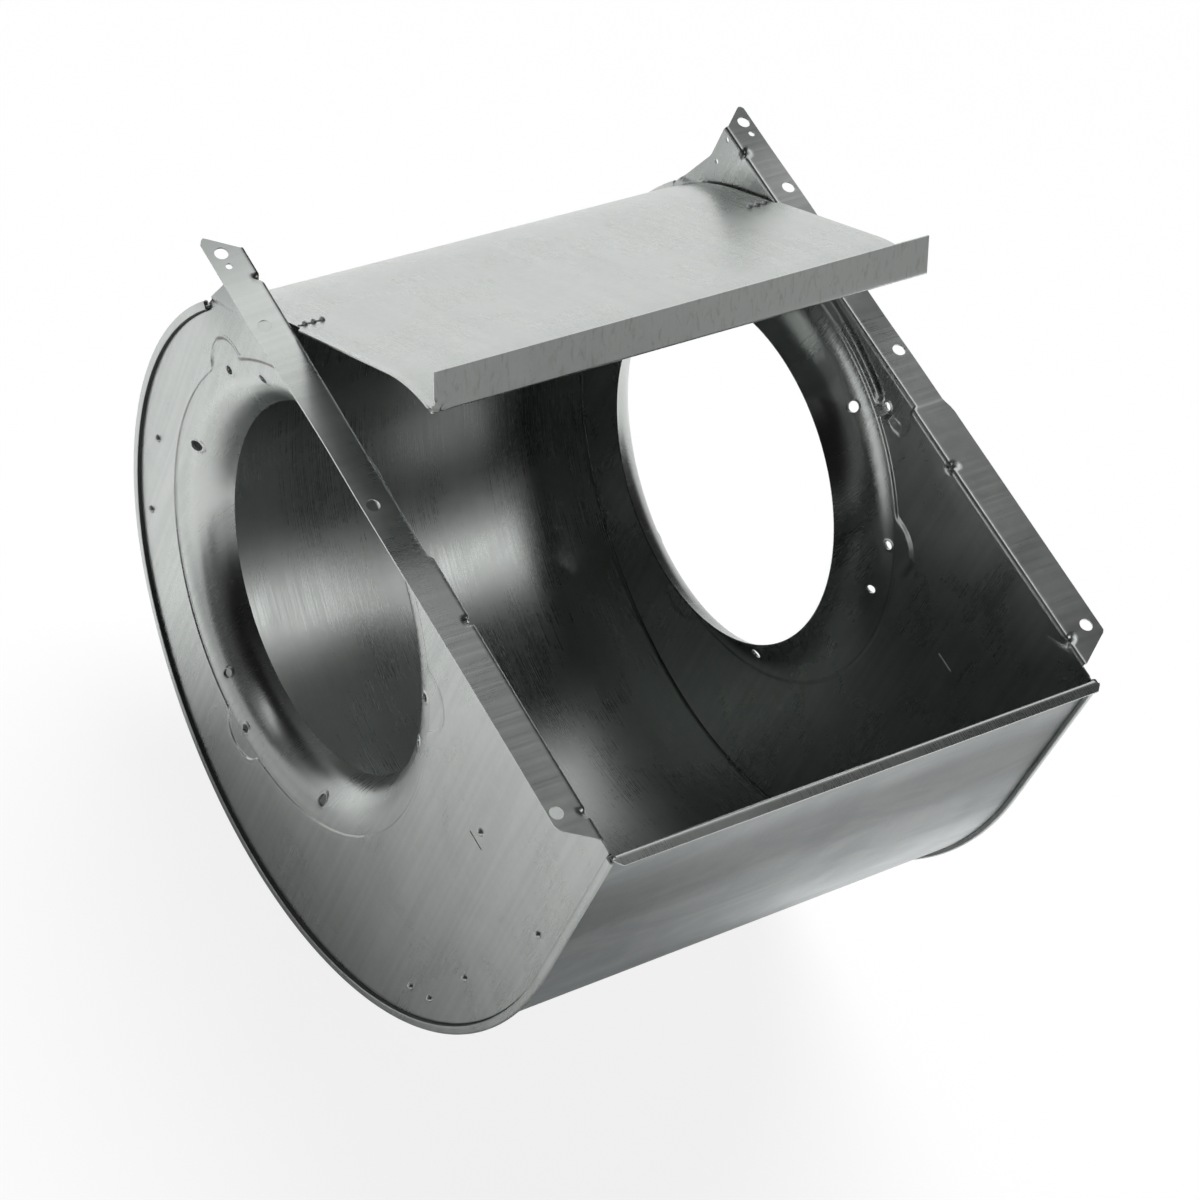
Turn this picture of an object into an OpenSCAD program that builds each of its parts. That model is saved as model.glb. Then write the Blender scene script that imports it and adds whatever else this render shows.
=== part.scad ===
// Double-inlet blower housing of galvanised sheet, without its wheel and motor.
// X is the blower's axis, +Z is the way the air leaves, and the flat front panel faces -Y.
// The origin lies on the axis, midway between the two side plates.

/* [Sheet and main size] */
// Thickness of every sheet
sheet_t = 1; // [0.8:0.1:1.2]
// Width over the flat faces of the two side plates
body_w = 328; // [280:1:400]
// Height of the outlet plane above the axis
outlet_z = 157; // [152:1:170]

/* [Scroll] */
// Distance of the flat front panel from the axis
panel_y = 277; // [265:1:290]
// Radius of the wide lower arc of the scroll
scroll_r1 = 238; // [225:1:250]
// Radius of the tighter upper arc of the scroll
scroll_r2 = 182.5; // [176:0.5:190]
// Height of the centre of the lower arc
scroll_z1 = 31; // [20:1:40]
// Angle at which the two arcs meet
scroll_join = -49; // [-60:1:-40]
// Angle at which the upper arc runs into the straight cut-off
scroll_end = 53; // [50:1:56]

/* [Cut-off tongue] */
// Length of the straight stretch after the upper arc
tongue_straight = 134; // [110:1:150]
// Radius of the curve at the tongue's end
tongue_r = 87; // [70:1:110]
// Angle that the end curve turns through
tongue_sweep = 29; // [20:1:36]
// Height of the lip folded up at the tongue's end
tongue_lip = 24; // [12:1:32]
// Direction of that lip, measured from the Y axis
tongue_lip_angle = 60; // [50:1:80]
// How far each end of the lip stands in from the tongue's edge
tongue_lip_inset = 1; // [1:0.5:8]
// How much wider the tongue is on each side, past the outlet plane
tongue_over = 3; // [1:0.5:4]

/* [Front lip] */
// Width of the lip that turns out from the front panel at the outlet
front_lip = 8; // [4:0.5:14]
// Slant of the front lip's ends
front_lip_slant = 4; // [1:0.5:6]
// How far the front lip reaches past each side of the panel
front_lip_over = 2; // [1:0.5:4]

/* [Inlet] */
// Radius of the inlet throat
throat_r = 112; // [100:0.5:116]
// Depth of the throat's edge behind the plate's face
throat_depth = 24.4; // [18:0.2:32]
// Radius of the pressed ring round the inlet
ring_r = 141.8; // [138:0.2:146]
// Depth of the dish at the pressed ring
ring_depth = 1; // [0.6:0.1:1]
// Depth of the dish where the soft step begins
dish_depth = 2.6; // [1.6:0.1:4]
// Width of the soft step that leads down to the shelf
step_w = 11; // [8:0.5:12]
// Depth of the shelf behind the plate's face
shelf_depth = 9.5; // [6:0.5:14]
// Radius of the rolled mouth between the shelf and the throat
mouth_r = 8; // [6:0.5:9]
// Length of the straight land at the throat's edge
throat_land = 3; // [2:0.5:5]

/* [Inlet holes] */
// Circle radius of the three motor-arm holes
arm_circle_r = 128; // [126:0.5:130]
// Diameter of the motor-arm holes
arm_hole_d = 7; // [5:0.5:8]
// Angle of the first motor-arm hole
arm_angle = -7.7; // [-20:0.1:5]
// Circle radius of the three inner screw holes
inner_circle_r = 130; // [128.5:0.5:131]
// Diameter of the inner and outer screw holes
screw_hole_d = 5.5; // [4:0.5:6]
// Angle of the first inner screw hole
inner_angle = 44; // [40:0.1:48]
// Circle radius of the three outer screw holes, one in each lobe
outer_circle_r = 137; // [136:0.5:139]
// Angle of the first outer screw hole
outer_angle = 29.3; // [26:0.1:32]
// Radius of each lobe of the pressed ring, about its outer screw hole
lobe_r = 19; // [16:0.5:21]

/* [Outlet flange] */
// Width of each side flange, from the plate's face to its free edge
flange_w = 24; // [20:0.5:30]
// Inside radius of the flange bend
bend_r = 1.5; // [1:0.1:2.5]
// Upper end of the flange bend
flange_top = 139; // [134:1:144]
// Lower end of the flange bend
flange_bottom = -267; // [-272:1:-262]
// How far the flange's upper corner reaches past the bend's end
flange_peak = 12; // [8:1:16]
// How far the free edge stops short of the bend's lower end
flange_slant = 15; // [10:1:20]
// Distance of the flange holes outside the plate's face
hole_out = 15.8; // [12:0.1:18]
// Diameter of the eight flange holes
flange_hole_d = 8; // [6:0.5:9]
// Place along the flange of its upper end hole
end_hole_y = 139; // [137:0.5:141]
// Distance between the two end holes of a flange
end_hole_span = 384; // [380:0.5:388]
// Place along the flange of the upper middle hole
mid_hole_y = 86; // [70:0.5:95]
// Distance between the two middle holes of a flange
mid_hole_span = 127.5; // [100:0.5:160]
// Diameter of the pilot hole near the upper end
pilot_d = 4; // [2:0.5:5]
// Place of the pilot hole along the flange
pilot_y = 129.5; // [128:0.5:131]

/* [Ear and pad] */
// Height at which the ear's edge meets the scroll
ear_z = 97; // [94:1:102]
// Place of the corner in the ear's edge
ear_corner = [138.5, 127];
// How far the pad beside the outlet is pressed outwards
pad_depth = 2.5; // [1.5:0.1:3]
// Place where the pad ends, on the side of the front panel
pad_end = -80; // [-90:1:-70]
// Radius of the pad's edge round the inlet
pad_r = 148.5; // [147.5:0.5:150]
// Angle round the inlet at which the pad turns out to the scroll
pad_turn = 50; // [46:1:60]
// Place of the hole beside the pad's lower corner
pad_hole = [-68, 146];
// Height of the pad's lower corner
pad_low_z = 137; // [135:0.5:140]
// Angle round the inlet at which the pad's edge meets the scroll
pad_out = 42; // [38:1:44]
// Angle of the pad's far corner, outside the scroll
pad_far = 29; // [26:1:32]

/* [Seam] */
// How far the seam's rim stands proud of the plate's face
seam_proud = 2.5; // [2:0.1:3]
// How far the seam's rim stands out from the scroll line
seam_out = 4.2; // [3.8:0.1:5]
// Space between the scroll wrap and the metal that holds it
seam_gap = 0.1; // [0.05:0.05:0.3]
// Angle on the upper arc at which the seam stops
seam_end = 32; // [28:1:33]
// Distance of the seam's other end below the outlet plane
seam_start = 3; // [2:0.5:8]

/* [Side slits] */
// Length of the lanced slit in each side plate
slit_l = 13; // [8:0.5:18]
// Width of the slit
slit_w = 1.2; // [0.8:0.1:2]
// Place of the slit in the left plate
slit_left = [-195.6, 41];
// Place of the slit in the right plate
slit_right = [-192.5, 51];

/* [Hidden] */
half_w = body_w / 2;
steel = [0.66, 0.69, 0.67];
arc_steps = 44;
fold_r = 1.5;
nose_r = 0.6;
scroll_c1 = [scroll_r1 - panel_y, scroll_z1];
scroll_c2 = scroll_c1 + (scroll_r1 - scroll_r2) * unit(scroll_join);
straight_start = scroll_c2 + scroll_r2 * unit(scroll_end);
straight_end = straight_start + tongue_straight * unit(scroll_end + 90);
tongue_c = straight_end - tongue_r * unit(scroll_end);
tongue_tip = tongue_c + tongue_r * unit(scroll_end + tongue_sweep);
tip_angle = scroll_end + tongue_sweep;
wrap_half = half_w - sheet_t - seam_gap;
seam_top = outlet_z - seam_start;
seam_x = half_w + seam_proud;
tongue_half = wrap_half + tongue_over;
tongue_z = outlet_z + 1.5;
pad_low_angle = 116;
pad_far_r = 200;
pad_out_r = scroll_r2 - 10;
pad_x = half_w + pad_depth;
step_r = throat_r + mouth_r + step_w;
shelf_r = throat_r + mouth_r;
$fn = 96;

function unit(a) = [cos(a), sin(a)];

// Points on an arc about c, from angle a0 to angle a1
function arc(c, r, a0, a1, n) = [for (i = [0 : n]) c + r * unit(a0 + (a1 - a0) * i / n)];

function reversed(list) = [for (i = [len(list) - 1 : -1 : 0]) list[i]];

// The scroll line moved outwards by off, from height z0 on the flat front up to an angle on the upper arc
function scroll_line(off, z0, end) = concat(
    [[-panel_y - off, z0]],
    arc(scroll_c1, scroll_r1 + off, -180, scroll_join, arc_steps),
    arc(scroll_c2, scroll_r2 + off, scroll_join, end, arc_steps));

// The whole line of the wrap, from the front panel to the tongue's tip
function wrap_line(off, z0) = concat(
    scroll_line(off, z0, scroll_end),
    arc(tongue_c, tongue_r + off, scroll_end, scroll_end + tongue_sweep, 12));

// Sweeps a Y-Z outline along X
module along_x(x0, x1) {
    translate([x0, 0, 0]) rotate([90, 0, 90]) linear_extrude(x1 - x0) children();
}

// Turns a radius-depth outline about the X axis, depth counted inwards from the plate's face
module about_x() {
    translate([half_w, 0, 0]) rotate([0, -90, 0]) rotate_extrude() children();
}

// Strip of sheet that follows the seam
module seam_band(from, to) {
    polygon(concat(scroll_line(to, seam_top, seam_end), reversed(scroll_line(from, seam_top, seam_end))));
}

// Outline of a side plate in Y and Z, up to the foot of the flange bend
module plate_outline() {
    foot = outlet_z - sheet_t - bend_r;
    notch = scroll_c2 + scroll_r2 * unit(seam_end + 1);
    polygon(concat(
        scroll_line(-sheet_t, foot, seam_end),
        [notch, [notch[0] - 0.5, ear_z], ear_corner, [flange_top, foot]]));
}

// Outline of the pressed pad beside the outlet, made larger by off
module pad_outline(off) {
    polygon(concat(
        [[pad_end - off, outlet_z + 1], [pad_end - off, pad_low_z - off]],
        arc([0, 0], pad_r - off, pad_low_angle, pad_turn, 20),
        [pad_out_r * unit(pad_out - off / 3), pad_far_r * unit(pad_far - off / 3), [pad_far_r, outlet_z + 1]]));
}

// The three lobes of the pressed ring and the ring itself
module ring_outline(off) {
    circle(r = ring_r + off);
    for (k = [0 : 2])
        translate(outer_circle_r * unit(outer_angle + 120 * k)) circle(r = lobe_r + off, $fn = 48);
}

// Round hole through a side plate
module plate_hole(place, d) {
    translate([half_w - throat_depth, place[0], place[1]])
        rotate([0, 90, 0]) cylinder(h = throat_depth + seam_proud + 1, d = d, $fn = 32);
}

// Turned inlet mouth: dish, soft step, shelf, rolled mouth and straight throat
module inlet_mouth() {
    mouth_h = throat_depth - throat_land - shelf_depth;
    step = [for (i = [0 : 8]) [step_r - step_w * i / 8,
        dish_depth + (shelf_depth - dish_depth) * (1 - cos(22.5 * i)) / 2]];
    roll = function (r, h) [for (i = [1 : 9])
        [shelf_r - r * sin(10 * i), shelf_depth + mouth_h - h * cos(10 * i)]];
    face = concat([[ring_r - 1, ring_depth], [ring_r - 4, ring_depth]], step);
    back = [for (p = face) [p[0], p[1] + sheet_t]];
    about_x() polygon(concat(
        face,
        roll(mouth_r, mouth_h),
        [[throat_r, throat_depth], [throat_r + sheet_t, throat_depth]],
        reversed(roll(mouth_r - sheet_t, mouth_h - sheet_t)),
        reversed(back)));
}

// Flat face of a side plate, with its lowered ring, lobes and raised pad
module plate_face() {
    along_x(half_w - sheet_t, half_w) difference() {
        plate_outline();
        ring_outline(0);
        pad_outline(0);
    }
    along_x(half_w - sheet_t - ring_depth, half_w - ring_depth) difference() {
        ring_outline(sheet_t);
        circle(r = ring_r - 3);
    }
    along_x(pad_x - sheet_t, pad_x) intersection() {
        plate_outline();
        pad_outline(sheet_t);
    }
    along_x(half_w - sheet_t, pad_x) intersection() {
        plate_outline();
        difference() {
            pad_outline(sheet_t);
            pad_outline(0);
        }
    }
}

// Rolled seam that holds the wrap's edge
module seam_rim() {
    along_x(half_w - sheet_t, seam_x - sheet_t) seam_band(-sheet_t, 0);
    along_x(seam_x - sheet_t, seam_x) seam_band(-sheet_t, seam_out);
    along_x(seam_x - 3 * sheet_t, seam_x - sheet_t) seam_band(seam_out - sheet_t, seam_out);
    along_x(seam_x - 3 * sheet_t, seam_x - 2 * sheet_t) seam_band(sheet_t + seam_gap, seam_out - sheet_t);
}

// Bend between a plate and its flange, over a stretch of Y, at the plate's face x
module flange_bend(x, y0, y1) {
    translate([x + bend_r, y1, outlet_z - sheet_t - bend_r]) rotate([90, 0, 0]) linear_extrude(y1 - y0)
        intersection() {
            difference() {
                circle(r = bend_r + sheet_t, $fn = 32);
                circle(r = bend_r, $fn = 32);
            }
            translate([-bend_r - sheet_t, 0]) square(bend_r + sheet_t);
        }
}

// Side flange in the outlet plane, with its bend
module flange() {
    free = half_w + flange_w;
    peak = flange_top + flange_peak;
    low = flange_bottom + flange_slant;
    translate([0, 0, outlet_z - sheet_t]) linear_extrude(sheet_t) polygon([
        [half_w + bend_r, flange_bottom],
        [free - 4, low - 3],
        [free, low + 2],
        [free, pad_end - 11],
        [free - 2, pad_end],
        [free - 2, peak - 5],
        [free - 5, peak],
        [pad_x + bend_r, flange_top],
        [pad_x + bend_r, pad_end],
        [half_w + bend_r, pad_end]]);
    flange_bend(half_w, flange_bottom, pad_end);
    flange_bend(pad_x, pad_end - sheet_t, flange_top);
}

// Round holes of a flange, all on one line
module flange_holes() {
    for (y = [end_hole_y, end_hole_y - end_hole_span, mid_hole_y, mid_hole_y - mid_hole_span])
        translate([half_w + hole_out, y, outlet_z - sheet_t - 1])
            cylinder(h = sheet_t + 2, d = flange_hole_d, $fn = 32);
    translate([half_w + hole_out, pilot_y, outlet_z - sheet_t - 1])
        cylinder(h = sheet_t + 2, d = pilot_d, $fn = 32);
}

// Round holes of the inlet's dish and of the pad
module dish_holes() {
    plate_hole(pad_hole, screw_hole_d);
    for (k = [0 : 2]) {
        plate_hole(arm_circle_r * unit(arm_angle + 120 * k), arm_hole_d);
        plate_hole(inner_circle_r * unit(inner_angle + 120 * k), screw_hole_d);
        plate_hole(outer_circle_r * unit(outer_angle + 120 * k), screw_hole_d);
    }
}

// A side plate as it stands at +X, with the slit at its own place
module side_plate(slit) {
    difference() {
        plate_face();
        dish_holes();
        translate([half_w - 5, slit[0] - slit_l / 2, slit[1] - slit_w / 2]) cube([10, slit_l, slit_w]);
    }
    difference() {
        inlet_mouth();
        dish_holes();
    }
    seam_rim();
    difference() {
        flange();
        flange_holes();
    }
}

module left_side_plate() {
    color(steel) mirror([1, 0, 0]) side_plate(slit_left);
}

module right_side_plate() {
    color(steel) side_plate(slit_right);
}

// The sheet of the front panel, scroll and tongue, with its fold to the front lip
module wrap_outline(with_lip) {
    foot = outlet_z - sheet_t - fold_r;
    fold_c = [-panel_y - sheet_t - fold_r, foot];
    nose_c = tongue_tip + (sheet_t + nose_r) * unit(tip_angle);
    front_fold = arc(fold_c, fold_r, 90, 0, 6);
    back_fold = arc(fold_c, fold_r + sheet_t, 0, 90, 6);
    lip_end = (tongue_lip - sheet_t - nose_r) * unit(tongue_lip_angle);
    lip_face = tongue_lip_angle + 90;
    lip_back = [for (p = arc(nose_c, nose_r, tip_angle + 180, lip_face, 10)) p];
    lip_front = [for (p = arc(nose_c, nose_r + sheet_t, lip_face, tip_angle + 180, 10)) p];
    polygon(concat(
        front_fold,
        wrap_line(sheet_t, foot),
        with_lip ? concat(
            lip_back,
            [lip_back[10] + lip_end, lip_front[0] + lip_end],
            lip_front) : [],
        reversed(wrap_line(0, foot)),
        back_fold));
}

// Part of the wrap's outline past the outlet plane, where the sheet is wider
module tongue_outline(with_lip) {
    intersection() {
        wrap_outline(with_lip);
        translate([-panel_y / 2, tongue_z]) square([2 * panel_y, panel_y]);
    }
}

// Flat lip that turns out from the front panel in the outlet plane
module front_lip() {
    start = -panel_y - sheet_t - fold_r;
    end = -panel_y - front_lip;
    half = wrap_half + front_lip_over;
    translate([0, 0, outlet_z - sheet_t]) linear_extrude(sheet_t) polygon([
        [-wrap_half, start], [-half, start - 0.5], [-half, start - 1.5], [-half + front_lip_slant, end],
        [half - front_lip_slant, end], [half, start - 1.5], [half, start - 0.5], [wrap_half, start]]);
}

// Edge of the wrap that turns out into the seam of the plate at +X
module seam_edge() {
    along_x(wrap_half, seam_x - sheet_t) seam_band(seam_gap, sheet_t);
    along_x(seam_x - 2 * sheet_t, seam_x - sheet_t) seam_band(seam_gap, seam_out - sheet_t - seam_gap);
}

module scroll_wrap() {
    color(steel) {
        along_x(-wrap_half, wrap_half) wrap_outline(false);
        along_x(-tongue_half, tongue_half) tongue_outline(false);
        along_x(tongue_lip_inset - tongue_half, tongue_half - tongue_lip_inset) tongue_outline(true);
        front_lip();
        seam_edge();
        mirror([1, 0, 0]) seam_edge();
    }
}

left_side_plate();
right_side_plate();
scroll_wrap();
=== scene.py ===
# %% [markdown]
# # A blower housing of galvanised sheet
# The housing is three pieces of thin zinc-coated steel: two stamped side plates and one long wrap
# that runs from the front panel round the scroll to the cut-off tongue. This lesson makes each of
# them as one thin curved surface, gives it a wall, and finishes it with a rolled-zinc material.
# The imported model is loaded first, because every surface has to lie exactly where its solid lies.

# %% Load the frame
import bmesh
import bpy
import numpy as np
from mathutils import Matrix, Vector


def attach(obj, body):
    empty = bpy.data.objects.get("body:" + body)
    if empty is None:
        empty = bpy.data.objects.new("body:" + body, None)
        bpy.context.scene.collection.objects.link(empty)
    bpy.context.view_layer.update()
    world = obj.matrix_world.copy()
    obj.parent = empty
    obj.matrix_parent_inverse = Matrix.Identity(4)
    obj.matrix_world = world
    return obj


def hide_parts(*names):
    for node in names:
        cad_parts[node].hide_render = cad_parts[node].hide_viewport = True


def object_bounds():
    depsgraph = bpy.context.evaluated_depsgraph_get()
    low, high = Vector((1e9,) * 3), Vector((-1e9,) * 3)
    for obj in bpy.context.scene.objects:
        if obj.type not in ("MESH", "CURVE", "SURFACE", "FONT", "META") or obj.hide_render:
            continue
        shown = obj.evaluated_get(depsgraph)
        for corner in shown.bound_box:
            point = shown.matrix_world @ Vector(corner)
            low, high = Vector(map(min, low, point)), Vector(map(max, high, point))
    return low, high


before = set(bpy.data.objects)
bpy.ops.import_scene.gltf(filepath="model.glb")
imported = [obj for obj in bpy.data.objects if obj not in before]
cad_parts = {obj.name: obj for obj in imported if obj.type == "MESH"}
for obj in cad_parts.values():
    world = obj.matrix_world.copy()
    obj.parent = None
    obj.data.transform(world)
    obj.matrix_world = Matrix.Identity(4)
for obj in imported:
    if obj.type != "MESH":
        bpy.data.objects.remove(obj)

cad_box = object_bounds()
print("nodes:", sorted(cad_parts))
print("CAD box:", [[round(v, 4) for v in corner] for corner in cad_box])

# %% [markdown]
# ## Sizes
# All shapes are worked out in millimetres in the part's own frame: X along the blower's axis,
# +Z out of the outlet, and the flat front panel at -Y. They turn into metres only when a mesh is made.
# The main values are those of the solid model, so that each surface lies where its solid lies.

# %% Main sizes
MM = 0.001
SHEET = 1.0                      # thickness of every sheet
HALF = 164.0                     # from the middle to the flat face of a side plate
TOP = 157.0                      # outlet plane
BEND_R = 1.5                     # inside of the bends at the outlet
FOOT = TOP - SHEET - BEND_R      # where the flange bend starts
PANEL_Y = 277.0                  # flat front panel
C1, R1 = np.array([-39.0, 31.0]), 238.0          # lower arc of the scroll: centre (y, z) and radius
R2 = 182.5                                       # upper arc
JOIN, SEAM_END, SCROLL_END = -49.0, 32.0, 53.0   # angles: arcs meet, rolled rim ends, arc ends
STRAIGHT = 134.0                                 # flat stretch between the scroll and the tongue
TONGUE_R, TONGUE_SWEEP = 87.0, 29.0              # radius and angle of the curved cut-off


def unit(degrees):
    """Unit vectors (cos a, sin a) for angles a in degrees."""
    a = np.radians(np.asarray(degrees, float))
    return np.stack([np.cos(a), np.sin(a)], axis=-1)


C2 = C1 + (R1 - R2) * unit(JOIN)
STRAIGHT_A = C2 + R2 * unit(SCROLL_END)
STRAIGHT_B = STRAIGHT_A + STRAIGHT * unit(SCROLL_END + 90)
TONGUE_C = STRAIGHT_B - TONGUE_R * unit(SCROLL_END)
print("upper arc about", C2.round(2), "and tongue curve about", TONGUE_C.round(2))

# %% [markdown]
# ## Small tools
# Sheet metal is mostly straight runs joined by bends. One helper rounds the corners of a line,
# another walks along a line in even steps, and a third gives the points of an arc. Two soft steps
# serve wherever a shape has to fade in or out.

# %% Helpers for lines
def smooth(t):
    """Smooth step 3 t^2 - 2 t^3, with t held between 0 and 1."""
    t = np.clip(t, 0.0, 1.0)
    return t * t * (3 - 2 * t)


def bump(d, width):
    """Soft bump: 1 where d = 0, and 0 from |d| = width on."""
    return smooth(1 - np.abs(d) / width)


def rounded(points, radii, steps=5):
    """A line with rounded corners. At a corner the line leaves its leg at radius * tan(turn / 2)
    from the corner, and an arc about the centre of that radius joins the two legs."""
    points = np.asarray(points, float)
    line = [points[:1]]
    for a, b, c, r in zip(points[:-2], points[1:-1], points[2:], radii):
        u, v = (a - b) / np.linalg.norm(a - b), (c - b) / np.linalg.norm(c - b)
        half = 0.5 * np.arccos(np.clip(u @ v, -1, 1))
        if r <= 0:
            line.append(b[None])
            continue
        middle = (u + v) / np.linalg.norm(u + v) * r / np.sin(half)
        t = np.linspace(0, 1, steps + 1)[:, None]
        start, end = u * r / np.tan(half) - middle, v * r / np.tan(half) - middle
        angle = np.arccos(np.clip(start @ end / r ** 2, -1, 1))
        bend = (np.sin((1 - t) * angle) * start + np.sin(t * angle) * end) / np.sin(angle)
        line.append(b + middle + bend)
    line.append(points[-1:])
    return np.concatenate(line)


def lengths(points):
    """Arc length of a polyline up to each of its points."""
    return np.concatenate([[0], np.cumsum(np.linalg.norm(np.diff(points, axis=0), axis=1))])


def walk(points, s):
    """Points at the arc lengths s along a polyline."""
    length = lengths(points)
    return np.stack([np.interp(s, length, points[:, k]) for k in range(points.shape[1])], axis=-1)


def total(points):
    """Length of a polyline."""
    return float(np.linalg.norm(np.diff(points, axis=0), axis=1).sum())


def arc(c, r, a0, a1, n):
    """n + 1 points c + r (cos a, sin a), a running from a0 to a1, and their outward normals."""
    u = unit(np.linspace(a0, a1, n + 1))
    return c + r * u, u


print("a rounded square corner:", rounded([[0, 0], [10, 0], [10, 10]], [4], 2).round(1).tolist())

# %% [markdown]
# ## From a grid to a mesh
# Every shape below is a grid of points, the values of a function of two parameters. The faces of a
# grid follow from its size alone, so they come from index arithmetic, without a loop over points.

# %% Helpers for meshes
def grid_faces(n, m, first=0, closed=(False, False)):
    """Quads of an n by m grid whose points are numbered row by row from first."""
    i = np.arange(n if closed[0] else n - 1)
    j = np.arange(m if closed[1] else m - 1)
    i, j = [k.ravel() for k in np.meshgrid(i, j, indexing="ij")]
    i2, j2 = (i + 1) % n, (j + 1) % m
    return first + np.stack([i * m + j, i2 * m + j, i2 * m + j2, i * m + j2], axis=-1)


def make_mesh(name, grids):
    """One mesh from grids given as (points n x m x 3 in mm, uv n x m x 2 in mm, closed pair)."""
    points, uvs, faces, first = [], [], [], 0
    for p, uv, closed in grids:
        n, m = p.shape[:2]
        faces.append(grid_faces(n, m, first, closed))
        points.append(p.reshape(-1, 3))
        uvs.append(uv.reshape(-1, 2))
        first += n * m
    points, uvs, faces = np.concatenate(points), np.concatenate(uvs), np.concatenate(faces)
    mesh = bpy.data.meshes.new(name)
    mesh.vertices.add(len(points))
    mesh.vertices.foreach_set("co", (points * MM).astype(np.float32).ravel())
    mesh.loops.add(faces.size)
    mesh.loops.foreach_set("vertex_index", faces.ravel().astype(np.int32))
    mesh.polygons.add(len(faces))
    mesh.polygons.foreach_set("loop_start", np.arange(0, faces.size, 4, dtype=np.int32))
    layer = mesh.uv_layers.new(name="sheet")
    mesh.update(calc_edges=True)
    layer.data.foreach_set("uv", (uvs[faces.ravel()] * MM).astype(np.float32).ravel())
    return mesh


def weld(mesh, outward=None):
    """Merge the doubles, make all faces agree, and turn them so that their mean normal, weighted by
    area, points along outward. Closed shells need no outward direction."""
    bm = bmesh.new()
    bm.from_mesh(mesh)
    bmesh.ops.remove_doubles(bm, verts=bm.verts, dist=2e-6)
    bmesh.ops.dissolve_degenerate(bm, edges=bm.edges, dist=1e-7)
    bmesh.ops.recalc_face_normals(bm, faces=bm.faces)
    bm.to_mesh(mesh)
    bm.free()
    if outward is not None:
        normals = np.empty(3 * len(mesh.polygons), np.float32)
        mesh.polygons.foreach_get("normal", normals)
        areas = np.empty(len(mesh.polygons), np.float32)
        mesh.polygons.foreach_get("area", areas)
        mean = (normals.reshape(-1, 3) * areas[:, None]).sum(axis=0) @ np.asarray(outward, float)
        if mean < 0:
            mesh.flip_normals()
    mesh.update()
    return mesh


def put(name, mesh):
    """Object at the origin that holds the mesh."""
    obj = bpy.data.objects.new(name, mesh)
    bpy.context.scene.collection.objects.link(obj)
    return obj


def from_bmesh(name, bm):
    """Object that holds what bm has built; bm is freed."""
    mesh = bpy.data.meshes.new(name)
    bm.to_mesh(mesh)
    bm.free()
    return put(name, mesh)


def apply_modifiers(obj, sharp=50.0):
    """Bake the modifiers into the mesh, shade it smooth and keep edges over sharp degrees crisp."""
    bpy.context.view_layer.update()
    graph = bpy.context.evaluated_depsgraph_get()
    mesh = bpy.data.meshes.new_from_object(obj.evaluated_get(graph), depsgraph=graph)
    old = obj.data
    obj.modifiers.clear()
    obj.data = mesh
    bpy.data.meshes.remove(old)
    mesh.shade_smooth()
    mesh.set_sharp_from_angle(angle=np.radians(sharp))


def give_wall(obj):
    """Solidify: the surface is the outside of the sheet, and the wall grows to its inside."""
    wall = obj.modifiers.new("wall", "SOLIDIFY")
    wall.thickness, wall.offset = SHEET * MM, -1.0
    wall.use_even_offset, wall.use_rim, wall.use_quality_normals = False, True, True


def pierce(obj, tools):
    """Cut the closed tool objects out of obj, bake the result and delete the tools."""
    for tool in tools:
        cut = obj.modifiers.new(tool.name, "BOOLEAN")
        cut.operation, cut.object, cut.solver = "DIFFERENCE", tool, "MANIFOLD"
    apply_modifiers(obj)
    for tool in tools:
        bpy.data.meshes.remove(tool.data)


def join_grids(obj, grids, sharp=180.0):
    """Weld closed grids, shade them smooth with edges over sharp degrees crisp, and join them on."""
    extra = put(obj.name + "_extra", weld(make_mesh(obj.name + "_extra", grids)))
    extra.data.shade_smooth()
    extra.data.set_sharp_from_angle(angle=np.radians(sharp))
    with bpy.context.temp_override(active_object=obj, object=obj, selected_objects=[obj, extra],
                                   selected_editable_objects=[obj, extra]):
        bpy.ops.object.join()
    obj.data.name = obj.name


print("faces of a grid of 2 by 3 points:", grid_faces(2, 3).tolist())

# %% [markdown]
# ## The scroll line
# In side view the wrap runs straight down the front panel, round the wide lower arc and the tighter
# upper arc. The plates follow the same line with their rolled rims, so it is worked out once.

# %% Scroll line
def scroll_line(step, top, end):
    """Points (y, z) and outward normals: straight down the panel from z = top, then C1 + R1 u(a)
    to the joint of the arcs, then C2 + R2 u(a) up to the angle end."""
    n0 = max(2, round((top - C1[1]) / step))
    n1 = round(R1 * np.radians(180 + JOIN) / step)
    n2 = round(R2 * np.radians(end - JOIN) / step)
    z = np.linspace(top, C1[1], n0, endpoint=False)
    straight = np.stack([np.full(n0, -PANEL_Y), z], axis=-1)
    p1, u1 = arc(C1, R1, -180, JOIN, n1)
    p2, u2 = arc(C2, R2, JOIN, end, n2)
    points = np.concatenate([straight, p1, p2[1:]])
    normals = np.concatenate([np.tile([-1.0, 0.0], (n0, 1)), u1, u2[1:]])
    return points, normals


LINE_STEP = 3.3                  # distance between the points of the scroll line
seam_line, seam_normal = scroll_line(LINE_STEP, TOP - 3.0, SEAM_END)
print("seam follows", len(seam_line), "points over", round(total(seam_line)), "mm")

# %% [markdown]
# ## The pressed face of a side plate
# The press leaves a round dish about the inlet with three lobes, a soft step, and a raised pad beside
# the outlet. All of it is one height function of the place on the plate, so that every surface that
# lies on the plate, also a small screw hole rim, can ask the same function where the metal is.

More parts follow.
